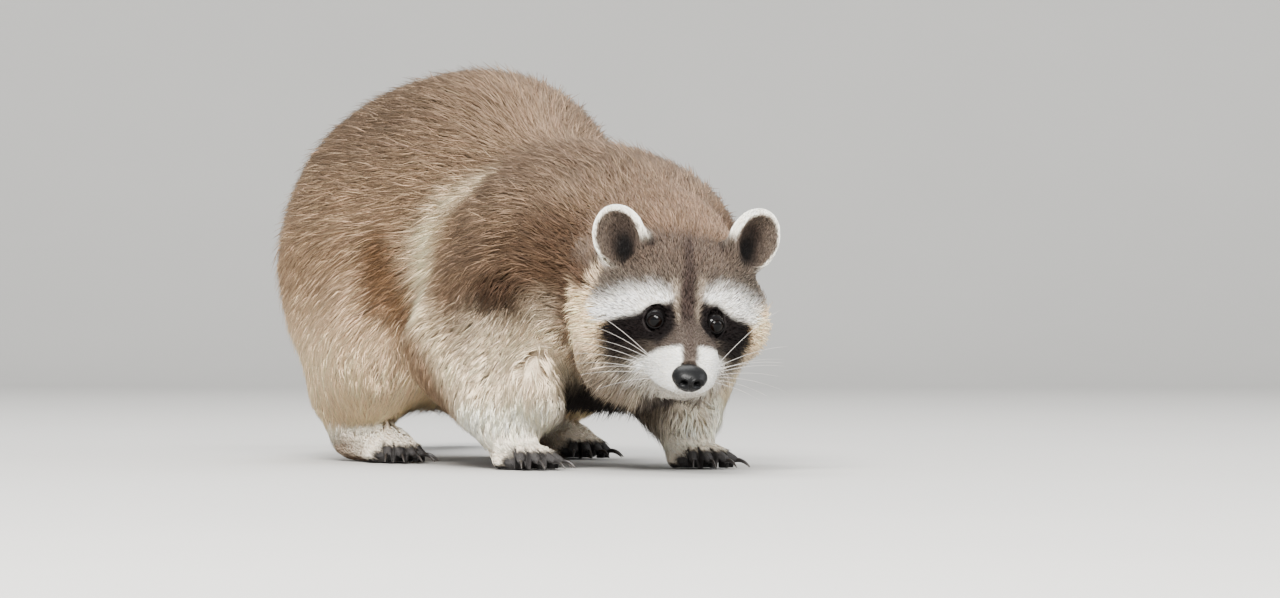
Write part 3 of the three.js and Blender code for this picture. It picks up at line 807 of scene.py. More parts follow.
def shape_muzzle(head, normals):
    """Adds the whisker pads, the groove under the nose and the line of the closed mouth."""
    x, y, z = folded(head)
    half = np.stack([x, y, z], 1)
    pad = bell(from_oval(half, WHISKER_PAD, WHISKER_PAD_RADII), 0, 1)
    mouth = to_line(half, MOUTH_LINE)
    split = bell(x, 0, 1.1) * ramp(-24, -29, z) * ramp(-37, -33, z) * ramp(-74, -80, y)
    push = 1.0 * pad - 2.2 * bell(mouth, 0, 1.5) + 0.35 * bell(mouth, 3.2, 1.8) - 1.2 * split
    bed = from_oval(half, NOSE_CENTRE, NOSE_RADII + 1.2)
    push = push - 0.5 * bell(bed, 1.0, 0.14)
    return head + normals * push[:, None]


def heading(body, kinds):
    """The way the hair points at each place, before it is laid onto the skin."""
    head = to_head(body)
    side = np.clip(body[:, 0] / 30, -1, 1)
    x, y, z = folded(body)
    ones = np.ones(len(body))
    fall = 0.22 + 0.5 * ramp(200, 90, z)
    trunk = np.stack([side * 0.15 * ramp(120, 240, z), ones, -fall], 1)
    back = np.stack([0 * x, ones, -0.35 * ones], 1)
    neck = unit(mixed((head + [0, 84, 10]) @ HEAD_AXES, back * 90, 0.5))
    face = unit(head + [0, 88, 12]) + unit(np.stack([head[:, 0], 0 * x, head[:, 2] - 6], 1)) * 0.35
    face[:, 2] -= 0.5 * ramp(24, 50, np.abs(head[:, 0])) * ramp(20, -20, head[:, 2])
    face = unit(face) @ HEAD_AXES
    tail = along_tail(body)[1]
    rise = np.stack([np.sign(head[:, 0]) * 0.32, 0.12 * ones, ones], 1) @ HEAD_AXES
    arm = np.stack([0 * x, mixed(0.75, 0.3, ramp(100, 50, z)), -ones], 1)
    leg = np.stack([0 * x, mixed(0.8, 0.25, ramp(110, 40, z)), -ones], 1)
    paw = np.stack([0 * x, -ones, -0.35 * ones], 1)
    foot = mixed(leg, paw, ramp(30, 16, z) * ramp(250, 215, y))
    ways = (trunk, neck, face, tail, rise, arm, leg, paw, foot)  # in the order of KINDS
    return unit(sum(share[:, None] * unit(way) for share, way in zip(kinds.T, ways)))


def point_tree(places):
    tree = KDTree(len(places))
    for number, place in enumerate(places):
        tree.insert(place, number)
    tree.balance()
    return tree


def nearest_of(tree, places):
    return np.array([tree.find(place)[1] for place in places.tolist()])


def laid(way, normals, ends):
    """Lays directions onto the skin and evens them out."""
    for rounds in (6, 4):
        way = unit(way - normals * (way * normals).sum(1)[:, None])
        way = eased(way, ends, rounds)
    return unit(way - normals * (way * normals).sum(1)[:, None])


def build_skin(material):
    """One skin for all the flesh: joined, smoothed, sunk by its coat's depth, with its finer forms."""
    flesh = joined_flesh()
    mesh = remeshed(*flesh[:2])
    refine_skin(mesh)
    mesh.calc_loop_triangles()
    points = read(mesh.vertices, "co", 3)
    faces = read(mesh.loop_triangles, "vertices", 3).astype(int)
    bpy.data.meshes.remove(mesh)
    ends = np.unique(np.sort(faces[:, [0, 1, 1, 2, 2, 0]].reshape(-1, 2), axis=1), axis=0)
    kinds = skin_kinds(points, ends, *flesh)
    body = to_body(points)
    back_of_head = (1 - on_front(body, kinds)) * share_of(kinds, "head")
    body = eased(body, ends, by_kind(kinds, EASING) + back_of_head * BACK_OF_HEAD_EASING)
    large = 1 - share_of(kinds, "ear", "fore_paw", "hind_paw")
    depth = eased(coat_depth(body, kinds), ends, 4 + DEPTH_EASING * large * (1 - on_front(body, kinds)))
    depth = mixed(depth, spared(body, faces, ends, depth), large)
    outer = body
    body = sunk(body, faces, ends, depth)
    on_head = share_of(kinds, "head") > HEAD_SHARE
    head = open_lids(shape_muzzle(to_head(body), vertex_normals(body, faces) @ HEAD_AXES.T))
    body[on_head] = from_head(head)[on_head]
    on_paw = share_of(kinds, "fore_paw", "hind_paw")
    body = shape_toes(body, np.clip(on_paw * 2, 0, 1))
    body[:, 2] = np.maximum(body[:, 2], 0.0)
    even = unit(eased(vertex_normals(body, faces), ends, 6))
    skin.update(places=body, faces=faces, normals=even, kinds=kinds, tree=point_tree(body), outer=outer)
    skin["way"] = laid(heading(body, kinds), even, ends)
    skin["depth"] = np.maximum(depth, THINNEST_COAT)
    skin["hang"] = hang_of_hair(body, kinds)
    tip, root = markings(outer, kinds)
    mesh = new_mesh("skin", to_metres(body), faces)
    add_tint(mesh, mixed(root, tip, SKIN_TINT))
    add_value(mesh, "bare", np.maximum(toe_share(body) * on_paw, on_paw * ramp(4, 1, body[:, 2])))
    return new_piece("skin", mesh, material, "coat_back", *FLESH)


# ---------------- materials


class Wiring:
    """Short ways to add and join a material's or a group's nodes."""

    def __init__(self, tree):
        self.tree = tree

    def add(self, kind, **settings):
        node = self.tree.nodes.new(kind)
        for name, value in settings.items():
            setattr(node, name, value)
        return node

    def join(self, source, target):
        self.tree.links.new(source, target)

    def feed(self, node, **inputs):
        """Sets a node's inputs by name, each to a value or to another node's output."""
        for name, value in inputs.items():
            socket = node.inputs[int(name[1:]) if name[0] == "_" else name.replace("_", " ")]
            if isinstance(value, bpy.types.NodeSocket):
                self.join(value, socket)
            else:
                socket.default_value = value
        return node

    def place(self):
        return self.add("ShaderNodeTexCoord").outputs["Object"]

    def value(self, name, output="Fac"):
        """What the mesh carries under a name."""
        return self.add("ShaderNodeAttribute", attribute_name=name).outputs[output]

    def group(self, name, **inputs):
        node = self.add("ShaderNodeGroup", node_tree=bpy.data.node_groups[name])
        return self.feed(node, **inputs).outputs

    def cells(self, place, scale, crease):
        """Rounded cells: 0 in the creases between them, and 1 inside."""
        node = self.add("ShaderNodeTexVoronoi", feature="DISTANCE_TO_EDGE")
        self.feed(node, Vector=place, Scale=scale)
        return self.spread(node.outputs["Distance"], 0.0, crease)

    def noise(self, place, scale, detail=3.0, rough=0.6):
        node = self.add("ShaderNodeTexNoise")
        return self.feed(node, Vector=place, Scale=scale, Detail=detail, Roughness=rough).outputs["Fac"]

    def sum(self, operation, first, second, third=None):
        node = self.add("ShaderNodeMath", operation=operation)
        self.feed(node, _0=first, _1=second)
        if third is not None:
            self.feed(node, _2=third)
        return node.outputs[0]

    def blend(self, share, first, second, how="MIX"):
        node = self.add("ShaderNodeMix", data_type="RGBA", blend_type=how)
        self.feed(node, _0=share, _6=first, _7=second)
        return node.outputs[2]

    def spread(self, value, low, high, to_low=0.0, to_high=1.0):
        node = self.add("ShaderNodeMapRange")
        self.feed(node, Value=value, From_Min=low, From_Max=high, To_Min=to_low, To_Max=to_high)
        return node.outputs[0]

    def bump(self, height, strength, distance):
        node = self.add("ShaderNodeBump")
        return self.feed(node, Height=height, Strength=strength, Distance=distance).outputs["Normal"]


def new_material(name):
    material = bpy.data.materials.new(name)
    material.use_nodes = True
    return material, Wiring(material.node_tree), material.node_tree.nodes["Principled BSDF"]


def rgba(colour, share=1.0):
    return tuple(channel * share for channel in colour) + (1,)


def new_group(name, inputs, outputs):
    """A shader node group with named sockets: {name: (kind, default)} in, {name: kind} out."""
    group = bpy.data.node_groups.new(name, "ShaderNodeTree")
    for label, (kind, default) in inputs.items():
        socket = group.interface.new_socket(label, in_out="INPUT", socket_type=kind)
        socket.default_value = default
    for label, kind in outputs.items():
        group.interface.new_socket(label, in_out="OUTPUT", socket_type=kind)
    wires = Wiring(group)
    return wires, wires.add("NodeGroupInput").outputs, wires.add("NodeGroupOutput").inputs


FLOAT, COLOUR = "NodeSocketFloat", "NodeSocketColor"


def group_hair_grain():
    """Fine streaks and soft patches that vary a hair colour."""
    inputs = {
        "Tint": (COLOUR, (0.5, 0.4, 0.3, 1)),
        "Streaks": (FLOAT, 900.0),
        "Patches": (FLOAT, 60.0),
        "Contrast": (FLOAT, 0.35),
    }
    wires, given, out = new_group("Hair grain", inputs, {"Color": COLOUR, "Streak": FLOAT})
    place = wires.place()
    streak = wires.noise(place, given["Streaks"], 4.0, 0.7)
    patch = wires.noise(place, given["Patches"], 2.0)
    swing = wires.sum("SUBTRACT", wires.sum("ADD", streak, wires.sum("MULTIPLY", patch, 0.7)), 0.85)
    gain = wires.sum("MULTIPLY_ADD", swing, given["Contrast"], 1.0)
    shade = wires.add("ShaderNodeCombineColor")
    wires.feed(shade, Red=gain, Green=gain, Blue=gain)
    wires.join(wires.blend(1.0, given["Tint"], shade.outputs[0], "MULTIPLY"), out["Color"])
    wires.join(streak, out["Streak"])


def skin_material():
    """Short underfur over the skin, and creased dark leather where it is bare."""
    material, wires, shader = new_material("skin_and_underfur")
    tint = wires.value("tint", "Color")
    bare = wires.value("bare")
    place = wires.place()
    grain = wires.group("Hair grain", Tint=tint, Streaks=1400.0, Patches=90.0, Contrast=0.7)
    crease = wires.cells(place, 1700.0, 0.22)
    leather = wires.blend(crease, (0.014, 0.012, 0.012, 1), (0.050, 0.046, 0.044, 1))
    wires.feed(shader, Base_Color=wires.blend(bare, grain["Color"], leather))
    wires.feed(shader, Roughness=wires.spread(bare, 0.0, 1.0, 0.85, 0.5))
    wires.feed(shader, Specular_IOR_Level=0.25)
    height = wires.blend(bare, grain["Streak"], wires.sum("MULTIPLY", crease, 0.5))
    wires.feed(shader, Normal=wires.bump(height, 0.6, 0.0006))
    return material


def coat_material(name, rough, grain, streaks):
    """Hair that is tinted tuft by tuft, with fine strands along and across each lock."""
    material, wires, shader = new_material(name)
    tint = wires.value("tint", "Color")
    hair = wires.group("Hair grain", Tint=tint, Streaks=streaks, Patches=55.0, Contrast=grain)
    wires.feed(shader, Base_Color=hair["Color"])
    wires.feed(shader, Roughness=wires.spread(hair["Streak"], 0.2, 0.8, rough - 0.1, rough + 0.1))
    wires.feed(shader, Normal=wires.bump(hair["Streak"], 0.35, 0.0004))
    wires.feed(shader, Specular_IOR_Level=0.12)
    return material


# ---------------- the coat

HAIR = {  # by kind: length and width of a tuft in mm, tufts to a square centimetre, how far they gather
    "trunk": (33.0, 0.76, 56.0, 0.32),
    "neck": (32.0, 0.76, 57.0, 0.36),
    "head": (24.0, 0.74, 62.0, 0.42),
    "tail": (40.0, 1.20, 32.0, 0.50),
    "ear": (6.0, 0.50, 120.0, 0.12),
    "arm": (22.0, 0.78, 56.0, 0.45),
    "leg": (27.0, 0.78, 54.0, 0.38),
    "fore_paw": (5.0, 0.55, 90.0, 0.20),
    "hind_paw": (7.0, 0.62, 70.0, 0.25),
}
FACE_HAIR = (6.2, 0.50, 125.0, 0.15)
MUZZLE_HAIR = (3.2, 0.40, 160.0, 0.1)
BEARD_HAIR = (36.0, 0.80, 60.0, 0.66)  # under the cheeks and the throat
LASH_LENGTH = 2.6  # mm, of the hair round the eyes
ROOT_DEPTH = 0.7  # how far a tuft starts below the skin
STEPS = {8: (0.0, 0.30, 0.68, 1.0), 5: (0.0, 0.5, 1.0)}  # the stations of a tuft with that many points
RISE = {8: (0.0, 0.50, 0.86, 1.0), 5: (0.0, 0.74, 0.99)}  # its height there, by the coat's depth
GIRTH = {8: (1.0, 0.72), 5: (1.0,)}  # its width there, between its two points
SHADE = {8: (0.3, 0.62, 0.94, 1.0), 5: (0.35, 0.85, 1.0)}  # from the root's colour to the tip's
LOCK_FLATNESS = 0.55  # a tuft's height by its width
PATCH = 0.003  # the side of a tuft's patch on the map, which is 1 wide
WANDER = 0.22  # how far tufts turn from the lie, in radians
STRAY_SHARE = 0.07  # of the tufts stand out from the rest
STRAY_LIFT = 1.28
LOCK_SIZE = 9  # tufts
GUARD_SHARE = 0.30  # of the tufts of a grizzled place have dark tips
LIGHT_WEIGHTS = [0.2126, 0.7152, 0.0722]  # of red, green and blue in a colour's lightness
BRIGHTEST = 0.95  # of a tuft's end
FLOOR_GAP = 0.6  # mm that all tufts stay above the floor
COAT_SEED = 20260


def beard_share(body, kinds):
    """1 where long hair hangs from under the cheeks and the throat."""
    x, y, z = folded(to_head(body))
    low = ramp(-22, -38, z + 0.10 * np.maximum(x - 30, 0))
    cheek = low * ramp(-46, -26, y) * ramp(8, 22, x + 0.6 * np.maximum(y + 30, 0))
    throat = ramp(-16, -40, z) * ramp(60, 30, y)
    return share_of(kinds, "head") * cheek + share_of(kinds, "neck") * throat


def hang_of_hair(body, kinds):
    """How far the tips sink under their weight, in mm."""
    low = ramp(90, 50, body[:, 2]) * share_of(kinds, "trunk")
    feather = ramp(96, 60, body[:, 2]) * share_of(kinds, "arm", "leg")
    return 13.0 * beard_share(body, kinds) + 7.0 * low + 2.5 * feather


def hair_traits():
    """Each skin point's tuft length, width, density and gathering."""
    body, kinds = skin["places"], skin["kinds"]
    head = to_head(body)
    x, y, z = folded(head)
    on_head = share_of(kinds, "head")
    face = ramp(20, -8, y) * ramp(62, 40, x + 0.5 * np.maximum(y, 0)) * ramp(-40, -24, z)
    crown = ramp(26, 6, y) * ramp(40, 56, z)
    beard = beard_share(body, kinds)
    muzzle = ramp(-38, -52, y)
    table = []
    for column in range(4):
        trait = by_kind(kinds, {kind: HAIR[kind][column] for kind in KINDS})
        front = mixed(FACE_HAIR[column], HAIR["head"][column], 0.5 * crown)
        front = mixed(front, MUZZLE_HAIR[column], muzzle)
        front = mixed(HAIR["head"][column], front, np.maximum(face, muzzle))
        table.append(mixed(mixed(trait, front, on_head), BEARD_HAIR[column], beard))
    length, width, density, gather = table
    brow = within(np.stack([x, z], 1), BROW_LINE, BROW_RADII, 8) * on_head * face
    length = length * (1 + 0.7 * brow * ramp(20, 34, x))
    toe = toe_share(body) * share_of(kinds, "fore_paw", "hind_paw")
    density = density * ramp(0.75, 0.3, toe) * ramp(1.2, 3.0, body[:, 2])
    length = length * mixed(1.0, 0.5, toe)
    width = width * mixed(1.0, 0.6, toe)
    for centre, _, across, up in (eye_frame(1), eye_frame(-1)):
        away = head - centre
        reach = np.linalg.norm(away, axis=1)
        ring = np.hypot(away @ across / LID_HALF[0], away @ up / LID_HALF[1])
        density = np.where((ring < 1.22) & (reach < 14), 0, density)
        length = mixed(length, LASH_LENGTH, ramp(15, 9.5, reach))
    density = np.where(from_oval(head, NOSE_CENTRE, NOSE_RADII + 0.8) < 1.02, 0, density)
    return length, width, density, gather


def sow(chosen, rng):
    """Even roots over the chosen faces: their places, normals and nearest skin points."""
    faces = skin["faces"][chosen]
    corners = skin["places"][faces]
    area = np.linalg.norm(face_normals(corners), axis=1) / 2
    wanted = np.cumsum(area / 100 * skin["density"][faces].mean(1))
    count = int(wanted[-1])
    pick = np.searchsorted(wanted, (np.arange(count) + rng.random(count)) / count * wanted[-1])
    share = rng.dirichlet((1, 1, 1), count)
    places = (corners[pick] * share[:, :, None]).sum(1)
    nearest = faces[pick, share.argmax(1)]
    normals = unit((skin["normals"][faces[pick]] * share[:, :, None]).sum(1))
    return places, normals, nearest


def combed(places, normals, nearest, points, rng):
    """Each tuft's stations on its walk along the lie of the hair, and the skin points under them."""
    count = len(places)
    length = skin["length"][nearest] * (0.72 + 0.5 * rng.random(count))
    swing = rng.normal(0, WANDER, count)[:, None]
    height = skin["depth"][nearest] * (0.80 + 0.24 * rng.random(count))
    stray = np.where(rng.random(count) < STRAY_SHARE, STRAY_LIFT, 1.0)
    loose = rng.random(count)
    steps, rise = STEPS[points], RISE[points]
    stations, under, ups = [places - normals * ROOT_DEPTH], [nearest], [normals]
    ground = places
    for last, now, share in zip(steps[:-1], steps[1:], rise[1:]):
        near = under[-1]
        way, normal = skin["way"][near], skin["normals"][near]
        turned = way * np.cos(swing) + np.cross(normal, way) * np.sin(swing)
        ground = ground + turned * (length * (now - last))[:, None]
        near = nearest_of(skin["tree"], ground)
        normal = skin["normals"][near]
        ground = ground - normal * ((ground - skin["places"][near]) * normal).sum(1)[:, None]
        lift = np.minimum(height, skin["depth"][near] * 1.02) * share * mixed(1.0, stray, share)
        sag = skin["hang"][nearest] * now**2 * (0.6 + 0.8 * loose)
        stations.append(ground + normal * lift[:, None] - sag[:, None] * [0, 0, 1])
        under.append(near)
        ups.append(normal)
    return np.stack(stations, 1), np.stack(under, 1), np.stack(ups, 1)


def gathered(stations, gather, rng):
    """Draws tufts together into locks, more towards their tips, and says which lock each one is in."""
    count = len(stations)
    leaders = rng.choice(count, max(1, count // LOCK_SIZE), replace=False)
    lock = nearest_of(point_tree(stations[leaders, 1]), stations[:, 1])
    guide = stations[leaders][lock]
    for station, pull in ((-2, 0.45), (-1, 0.8)):
        offset = guide[:, station] - stations[:, station]
        stations[:, station] += offset * (gather * pull)[:, None]
    return stations, lock


def tinted(under, lock, points, rng):
    """Each tuft's colours from root to tip: the markings' own, varied by lock and by tuft."""
    near = under[:, -2]
    tip, root = markings(skin["outer"][near], skin["kinds"][near])
    count = len(tip)
    light = tip @ LIGHT_WEIGHTS
    vary = mixed(0.16, 0.34, ramp(0.75, 0.35, light))
    by_lock = rng.random(lock.max() + 1)[lock] - 0.5
    gain = 1 + vary * (1.1 * by_lock + 1.1 * (rng.random(count) - 0.5))
    warmth = 1 + rng.normal(0, 0.02, (count, 3))
    warmth += (rng.random(count)[:, None] - 0.5) * np.array([0.05, 0, -0.07])
    tip = np.clip(tip * gain[:, None] * warmth, 0, 0.94)
    guard = rng.random(count) < GUARD_SHARE * ramp(0.85, 0.5, light) * ramp(0.03, 0.12, light)
    end = np.where(guard[:, None], mixed(root * 0.5, tip, 0.25), np.minimum(tip * 1.14, BRIGHTEST))
    stages = [mixed(root * 0.9, tip, share) for share in SHADE[points][:-1]] + [end]
    stages[-2] = mixed(stages[-2], end, guard * 0.6)
    return np.stack(stages, 1)


def map_places(places, normals):
    """Places on a map of the skin: it is laid flat in six sheets, by the way that it faces most."""
    spots = np.zeros((len(places), 2))
    axis = np.abs(normals).argmax(1)
    facing = axis * 2 + (normals[np.arange(len(normals)), axis] > 0)
    for sheet in range(6):
        member = facing == sheet
        if not member.any():
            continue
        flat = places[member][:, [number for number in range(3) if number != sheet // 2]]
        low, high = flat.min(0), flat.max(0)
        inner = (flat - low) / np.maximum(high - low, 1e-6)
        corner = np.array([sheet % 3, sheet // 3])
        spots[member] = (corner + 0.01 + 0.98 * inner) * [1 / 3, 1 / 2]
    return spots * (1 - 2 * PATCH) + PATCH


def tuft_faces(points):
    """One tuft's triangles, and the column and row of each corner on its patch of the map."""
    rings = (points - 2) // 3
    last = points - 1
    faces, columns, rows = [], [], []
    for side in range(3):
        after = (side + 1) % 3
        faces += [(0, 1 + after, 1 + side)]
        columns += [(side + 0.5, side + 1, side)]
        rows += [(0, 1, 1)]
        for ring in range(rings - 1):
            a, b = 1 + 3 * ring + side, 1 + 3 * ring + after
            faces += [(a, b, b + 3), (a, b + 3, a + 3)]
            columns += [(side, side + 1, side + 1), (side, side + 1, side)]
            rows += [(ring + 1, ring + 1, ring + 2), (ring + 1, ring + 2, ring + 2)]
        faces += [(last - 3 + side, last - 3 + after, last)]
        columns += [(side, side + 1, side + 0.5)]
        rows += [(rings, rings, rings + 1)]
    return np.array(faces), np.array(columns) / 3 - 0.5, np.array(rows) / (rings + 1) - 0.5


def tuft_mesh(name, stations, ups, widths, colours, spots):
    """A piece's tufts as one mesh of closed three-sided locks, with their colours and their map."""
    count, levels, _ = stations.shape
    points = 3 * (levels - 2) + 2
    level_of = [0, *np.repeat(np.arange(1, levels - 1), 3), levels - 1]  # of each point of a tuft
    places = stations[:, level_of]
    for level, girth in enumerate(GIRTH[points], 1):
        along = unit(stations[:, level + 1] - stations[:, level - 1])
        side = unit(np.cross(along, ups[:, level]))
        rise = np.cross(side, along)
        for corner in range(3):
            angle = math.radians(90 + 120 * corner)
            out = side * math.cos(angle) + rise * math.sin(angle) * LOCK_FLATNESS
            places[:, 3 * level - 2 + corner] += out * (widths * girth / 2)[:, None]
    shape, columns, rows = tuft_faces(points)
    faces = (np.arange(count)[:, None, None] * points + shape).reshape(-1, 3)
    mesh = new_mesh(name, to_metres(places.reshape(-1, 3)), faces)
    add_tint(mesh, colours[:, level_of].reshape(-1, 3))
    layer = mesh.uv_layers.new(name="OFBake", do_init=False)
    spread = spots[:, None, None, :] + np.stack([columns, rows], -1) * PATCH
    layer.data.foreach_set("uv", spread.astype(np.float32).ravel())
    return mesh


def build_coat(name, chosen, material, slot, points, seed):
    """One piece of the coat, over the chosen faces of the skin."""
    rng = np.random.default_rng(COAT_SEED + seed)
    places, normals, nearest = sow(chosen, rng)
    stations, under, ups = combed(places, normals, nearest, points, rng)
    stations, lock = gathered(stations, skin["gather"][nearest], rng)
    stations[:, :, 2] = np.maximum(stations[:, :, 2], FLOOR_GAP)
    colours = tinted(under, lock, points, rng)
    widths = skin["width"][nearest] * (0.7 + 0.6 * rng.random(len(nearest)))
    mesh = tuft_mesh(name, stations, ups, widths, colours, map_places(places, normals))
    return new_piece(name, mesh, material, slot)


SHORT_HAIR = 12.0  # mm; the coat of the face is shorter than this, that of the head is longer
TRUNK_CUTS = {"rump": (190, 999), "loins": (70, 190), "ribs": (-999, 70)}  # mm behind the shoulders


def coat_parts():
    """The faces of the skin that each piece of the coat grows from, by name."""
    faces = skin["faces"]
    x, y, _ = skin["places"][faces].mean(1).T
    kind = skin["kinds"][faces].mean(1).argmax(1)
    short = skin["length"][faces].mean(1) < SHORT_HAIR
    of_kind = {name: kind == number for number, name in enumerate(KINDS)}
    parts = {}
    for side, sign in (("right", -1), ("left", 1)):
        own = x * sign > 0
        for name, (low, high) in TRUNK_CUTS.items():
            parts[f"{name}_{side}"] = of_kind["trunk"] & own & (y > low) & (y <= high)
        for name in ("arm", "leg"):
            parts[f"{name}_{side}"] = of_kind[name] & own
    parts.update(neck=of_kind["neck"], tail=of_kind["tail"])
    parts.update(head=of_kind["head"] & ~short, face=of_kind["head"] & short)
    parts.update(ears=of_kind["ear"], paws=of_kind["fore_paw"] | of_kind["hind_paw"])
    return {f"coat_{name}": np.flatnonzero(wanted) for name, wanted in parts.items()}


def build_coats(names, material, slot):
    """Builds the pieces of the coat whose names start with one of those given."""
    for number, (name, chosen) in enumerate(coat_parts().items()):
        if name[len("coat_") :].startswith(names):
            points = 8 if name in ("coat_tail", "coat_head") else 5
            build_coat(name, chosen, material, slot, points, number)


# ---------------- eyes, nose, claws and whiskers


def grid_faces(rings, sides, ends=True):
    """Triangles between rings of points, with fans over the first and last ring or a join of the two."""
    ring = np.arange(rings - 1)[:, None] * sides
    here, after = np.arange(sides), (np.arange(sides) + 1) % sides
    a, b = (ring + here).ravel(), (ring + after).ravel()
    faces = [np.stack([a, b, b + sides], 1), np.stack([a, b + sides, a + sides], 1)]
    last = (rings - 1) * sides
    if ends:
        inner = np.arange(1, sides - 1)
        faces.append(np.stack([0 * inner, inner + 1, inner], 1))
        faces.append(np.stack([0 * inner, inner, inner + 1], 1) + last)
    else:
        faces.append(np.stack([last + here, last + after, after], 1))
        faces.append(np.stack([last + here, after, here], 1))
    return np.concatenate(faces)


def turns(count):
    return np.linspace(0, 2 * math.pi, count, endpoint=False)


def tube(line, radii, sides, flat=1.0):
    """Points of a tube round a line of places, thinner across its upright direction by `flat`."""
    along = unit(np.gradient(line, axis=0))
    side = unit(np.cross(along, [0, 0, 1.0]) + [1e-6, 0, 0])
    rise = np.cross(side, along)
    angle = turns(sides)[:, None]
    out = side[:, None] * np.cos(angle) * flat + rise[:, None] * np.sin(angle)
    return (line[:, None] + out * radii[:, None, None]).reshape(-1, 3)


def head_mesh(name, head, faces):
    return new_mesh(name, to_metres(from_head(head)), faces)


def joined(parts):
    """Several sets of (points, faces) as one."""
    points, faces, count = [], [], 0
    for places, corners in parts:
        points.append(places)
        faces.append(corners + count)
        count += len(places)
    return np.concatenate(points), np.concatenate(faces)


EYE_RINGS, EYE_SECTORS = 44, 64
CORNEA_RISE = 0.35  # mm, over the iris
IRIS_RADIUS = 5.6
POLE = 0.004  # radians from a pole to the first ring round it


def build_eyeball(side, material, radius):
    """A wet eyeball, its poles along its gaze, with how far each place is from the pupil's middle."""
    sign = 1 if side == "left" else -1
    centre, gaze, across, up = eye_frame(sign)
    bend = np.linspace(POLE, math.pi - POLE, EYE_RINGS)[:, None]
    turn = turns(EYE_SECTORS)[None] * sign
    reach = radius + CORNEA_RISE * np.exp(-((bend / 0.62) ** 4))
    wide = reach * np.sin(bend) * np.cos(turn)
    high = reach * np.sin(bend) * np.sin(turn)
    ahead = reach * np.cos(bend)
    ahead = ahead + 0 * turn
    head = centre + wide[..., None] * across + high[..., None] * up + ahead[..., None] * gaze
    mesh = head_mesh(f"eyeball_{side}", head.reshape(-1, 3), grid_faces(EYE_RINGS, EYE_SECTORS))
    ring = np.where(bend < 1.5, radius * np.sin(bend), 2 * radius) / IRIS_RADIUS + 0 * turn
    add_value(mesh, "ring", ring.ravel())
    add_value(mesh, "spoke", (0 * bend + np.abs(turn)).ravel())
    return new_piece(f"eyeball_{side}", mesh, material, "eye", f"eye_{side}")


LID_STATIONS, LID_SIDES = 72, 10


def build_lid_rims(material, thickness):
    """The bare dark edge of each pair of lids, a little thicker at the inner corner."""
    parts = []
    angle, spin = turns(LID_STATIONS), turns(LID_SIDES)[:, None]
    for sign in (1, -1):
        centre, gaze, across, up = eye_frame(sign)
        wide, high = opening(angle)
        radius = EYE_RADIUS + LID_THICK * 0.55
        ahead = np.sqrt(radius**2 - wide**2 - high**2)
        line = centre + wide[:, None] * across + high[:, None] * up + ahead[:, None] * gaze
        inner = ramp(0.75, 1.0, -np.cos(angle) * np.sign(across[0]) * sign)
        out = unit(line - centre)
        along = unit(np.roll(line, -1, 0) - np.roll(line, 1, 0))
        ring = out[:, None] * np.cos(spin) + np.cross(along, out)[:, None] * np.sin(spin)
        girth = thickness * mixed(1.0, 1.45, inner)
        points = (line[:, None] + ring * girth[:, None, None]).reshape(-1, 3)
        faces = grid_faces(LID_STATIONS, LID_SIDES, ends=False)
        parts.append((points, faces[:, ::sign]))
    return new_piece("lid_rims", head_mesh("lid_rims", *joined(parts)), material, "eye")


NOSTRIL = np.array([4.7, -1.4])  # across and up from the nose's middle
NOSTRIL_RADII = np.array([2.3, 1.9])
SLIT_LINE = [(5.6, -2.2), (8.2, -3.9), (10.2, -4.4)]
NOSE_RINGS, NOSE_SECTORS, NOSE_POLE = 90, 144, 0.003


def build_nose(material):
    """The bare nose pad: nostrils with their side slits, and the groove that runs down to the lip."""
    bend = np.linspace(NOSE_POLE, math.pi - NOSE_POLE, NOSE_RINGS)[:, None]
    turn = turns(NOSE_SECTORS)[None]
    wide, recess_shade, high = np.sin(bend) * np.cos(turn), -np.cos(bend) + 0 * turn, np.sin(bend) * np.sin(turn)
    way = np.stack([wide, recess_shade, high], -1).reshape(-1, 3)
    spot = way * NOSE_RADII
    spot[:, 0] *= 1 + 0.10 * way[:, 2] - 0.10 * np.maximum(-way[:, 2], 0)
    spot[:, 1] += 1.2 * ramp(0.2, 1.0, way[:, 2])
    half = np.stack([np.abs(spot[:, 0]), spot[:, 2]], 1)
    front = ramp(-0.05, -0.4, way[:, 1])
    pit = from_oval(half, NOSTRIL, NOSTRIL_RADII)
    groove = ramp(1.3, 0.3, half[:, 0]) * ramp(-0.5, -2.5, half[:, 1])
    push = -4.6 * np.exp(-(pit**2) * 1.15) + 0.5 * bell(pit, 1.75, 0.45)
    push = push - 1.3 * bell(to_line(half, SLIT_LINE), 0, 0.75) - 0.9 * groove
    push = push + 0.04 * np.sin(spot[:, 0] * 4.1) * np.sin(spot[:, 2] * 3.7 + spot[:, 0])
    spot = spot + way * (push * front)[:, None] + NOSE_CENTRE
    mesh = head_mesh("nose_pad", spot, grid_faces(NOSE_RINGS, NOSE_SECTORS)[:, ::-1])
    # How far into a nostril's pit each place lies, for the painted shade there.
    add_value(mesh, "recess_shade", front * np.exp(-(pit**2) * 0.9))
    return new_piece("nose_pad", mesh, material, "nose", "nose")


CLAW_STATIONS, CLAW_SIDES = 12, 12
CLAW_INSIDE = 4.5  # mm of a claw's root that its toe hides


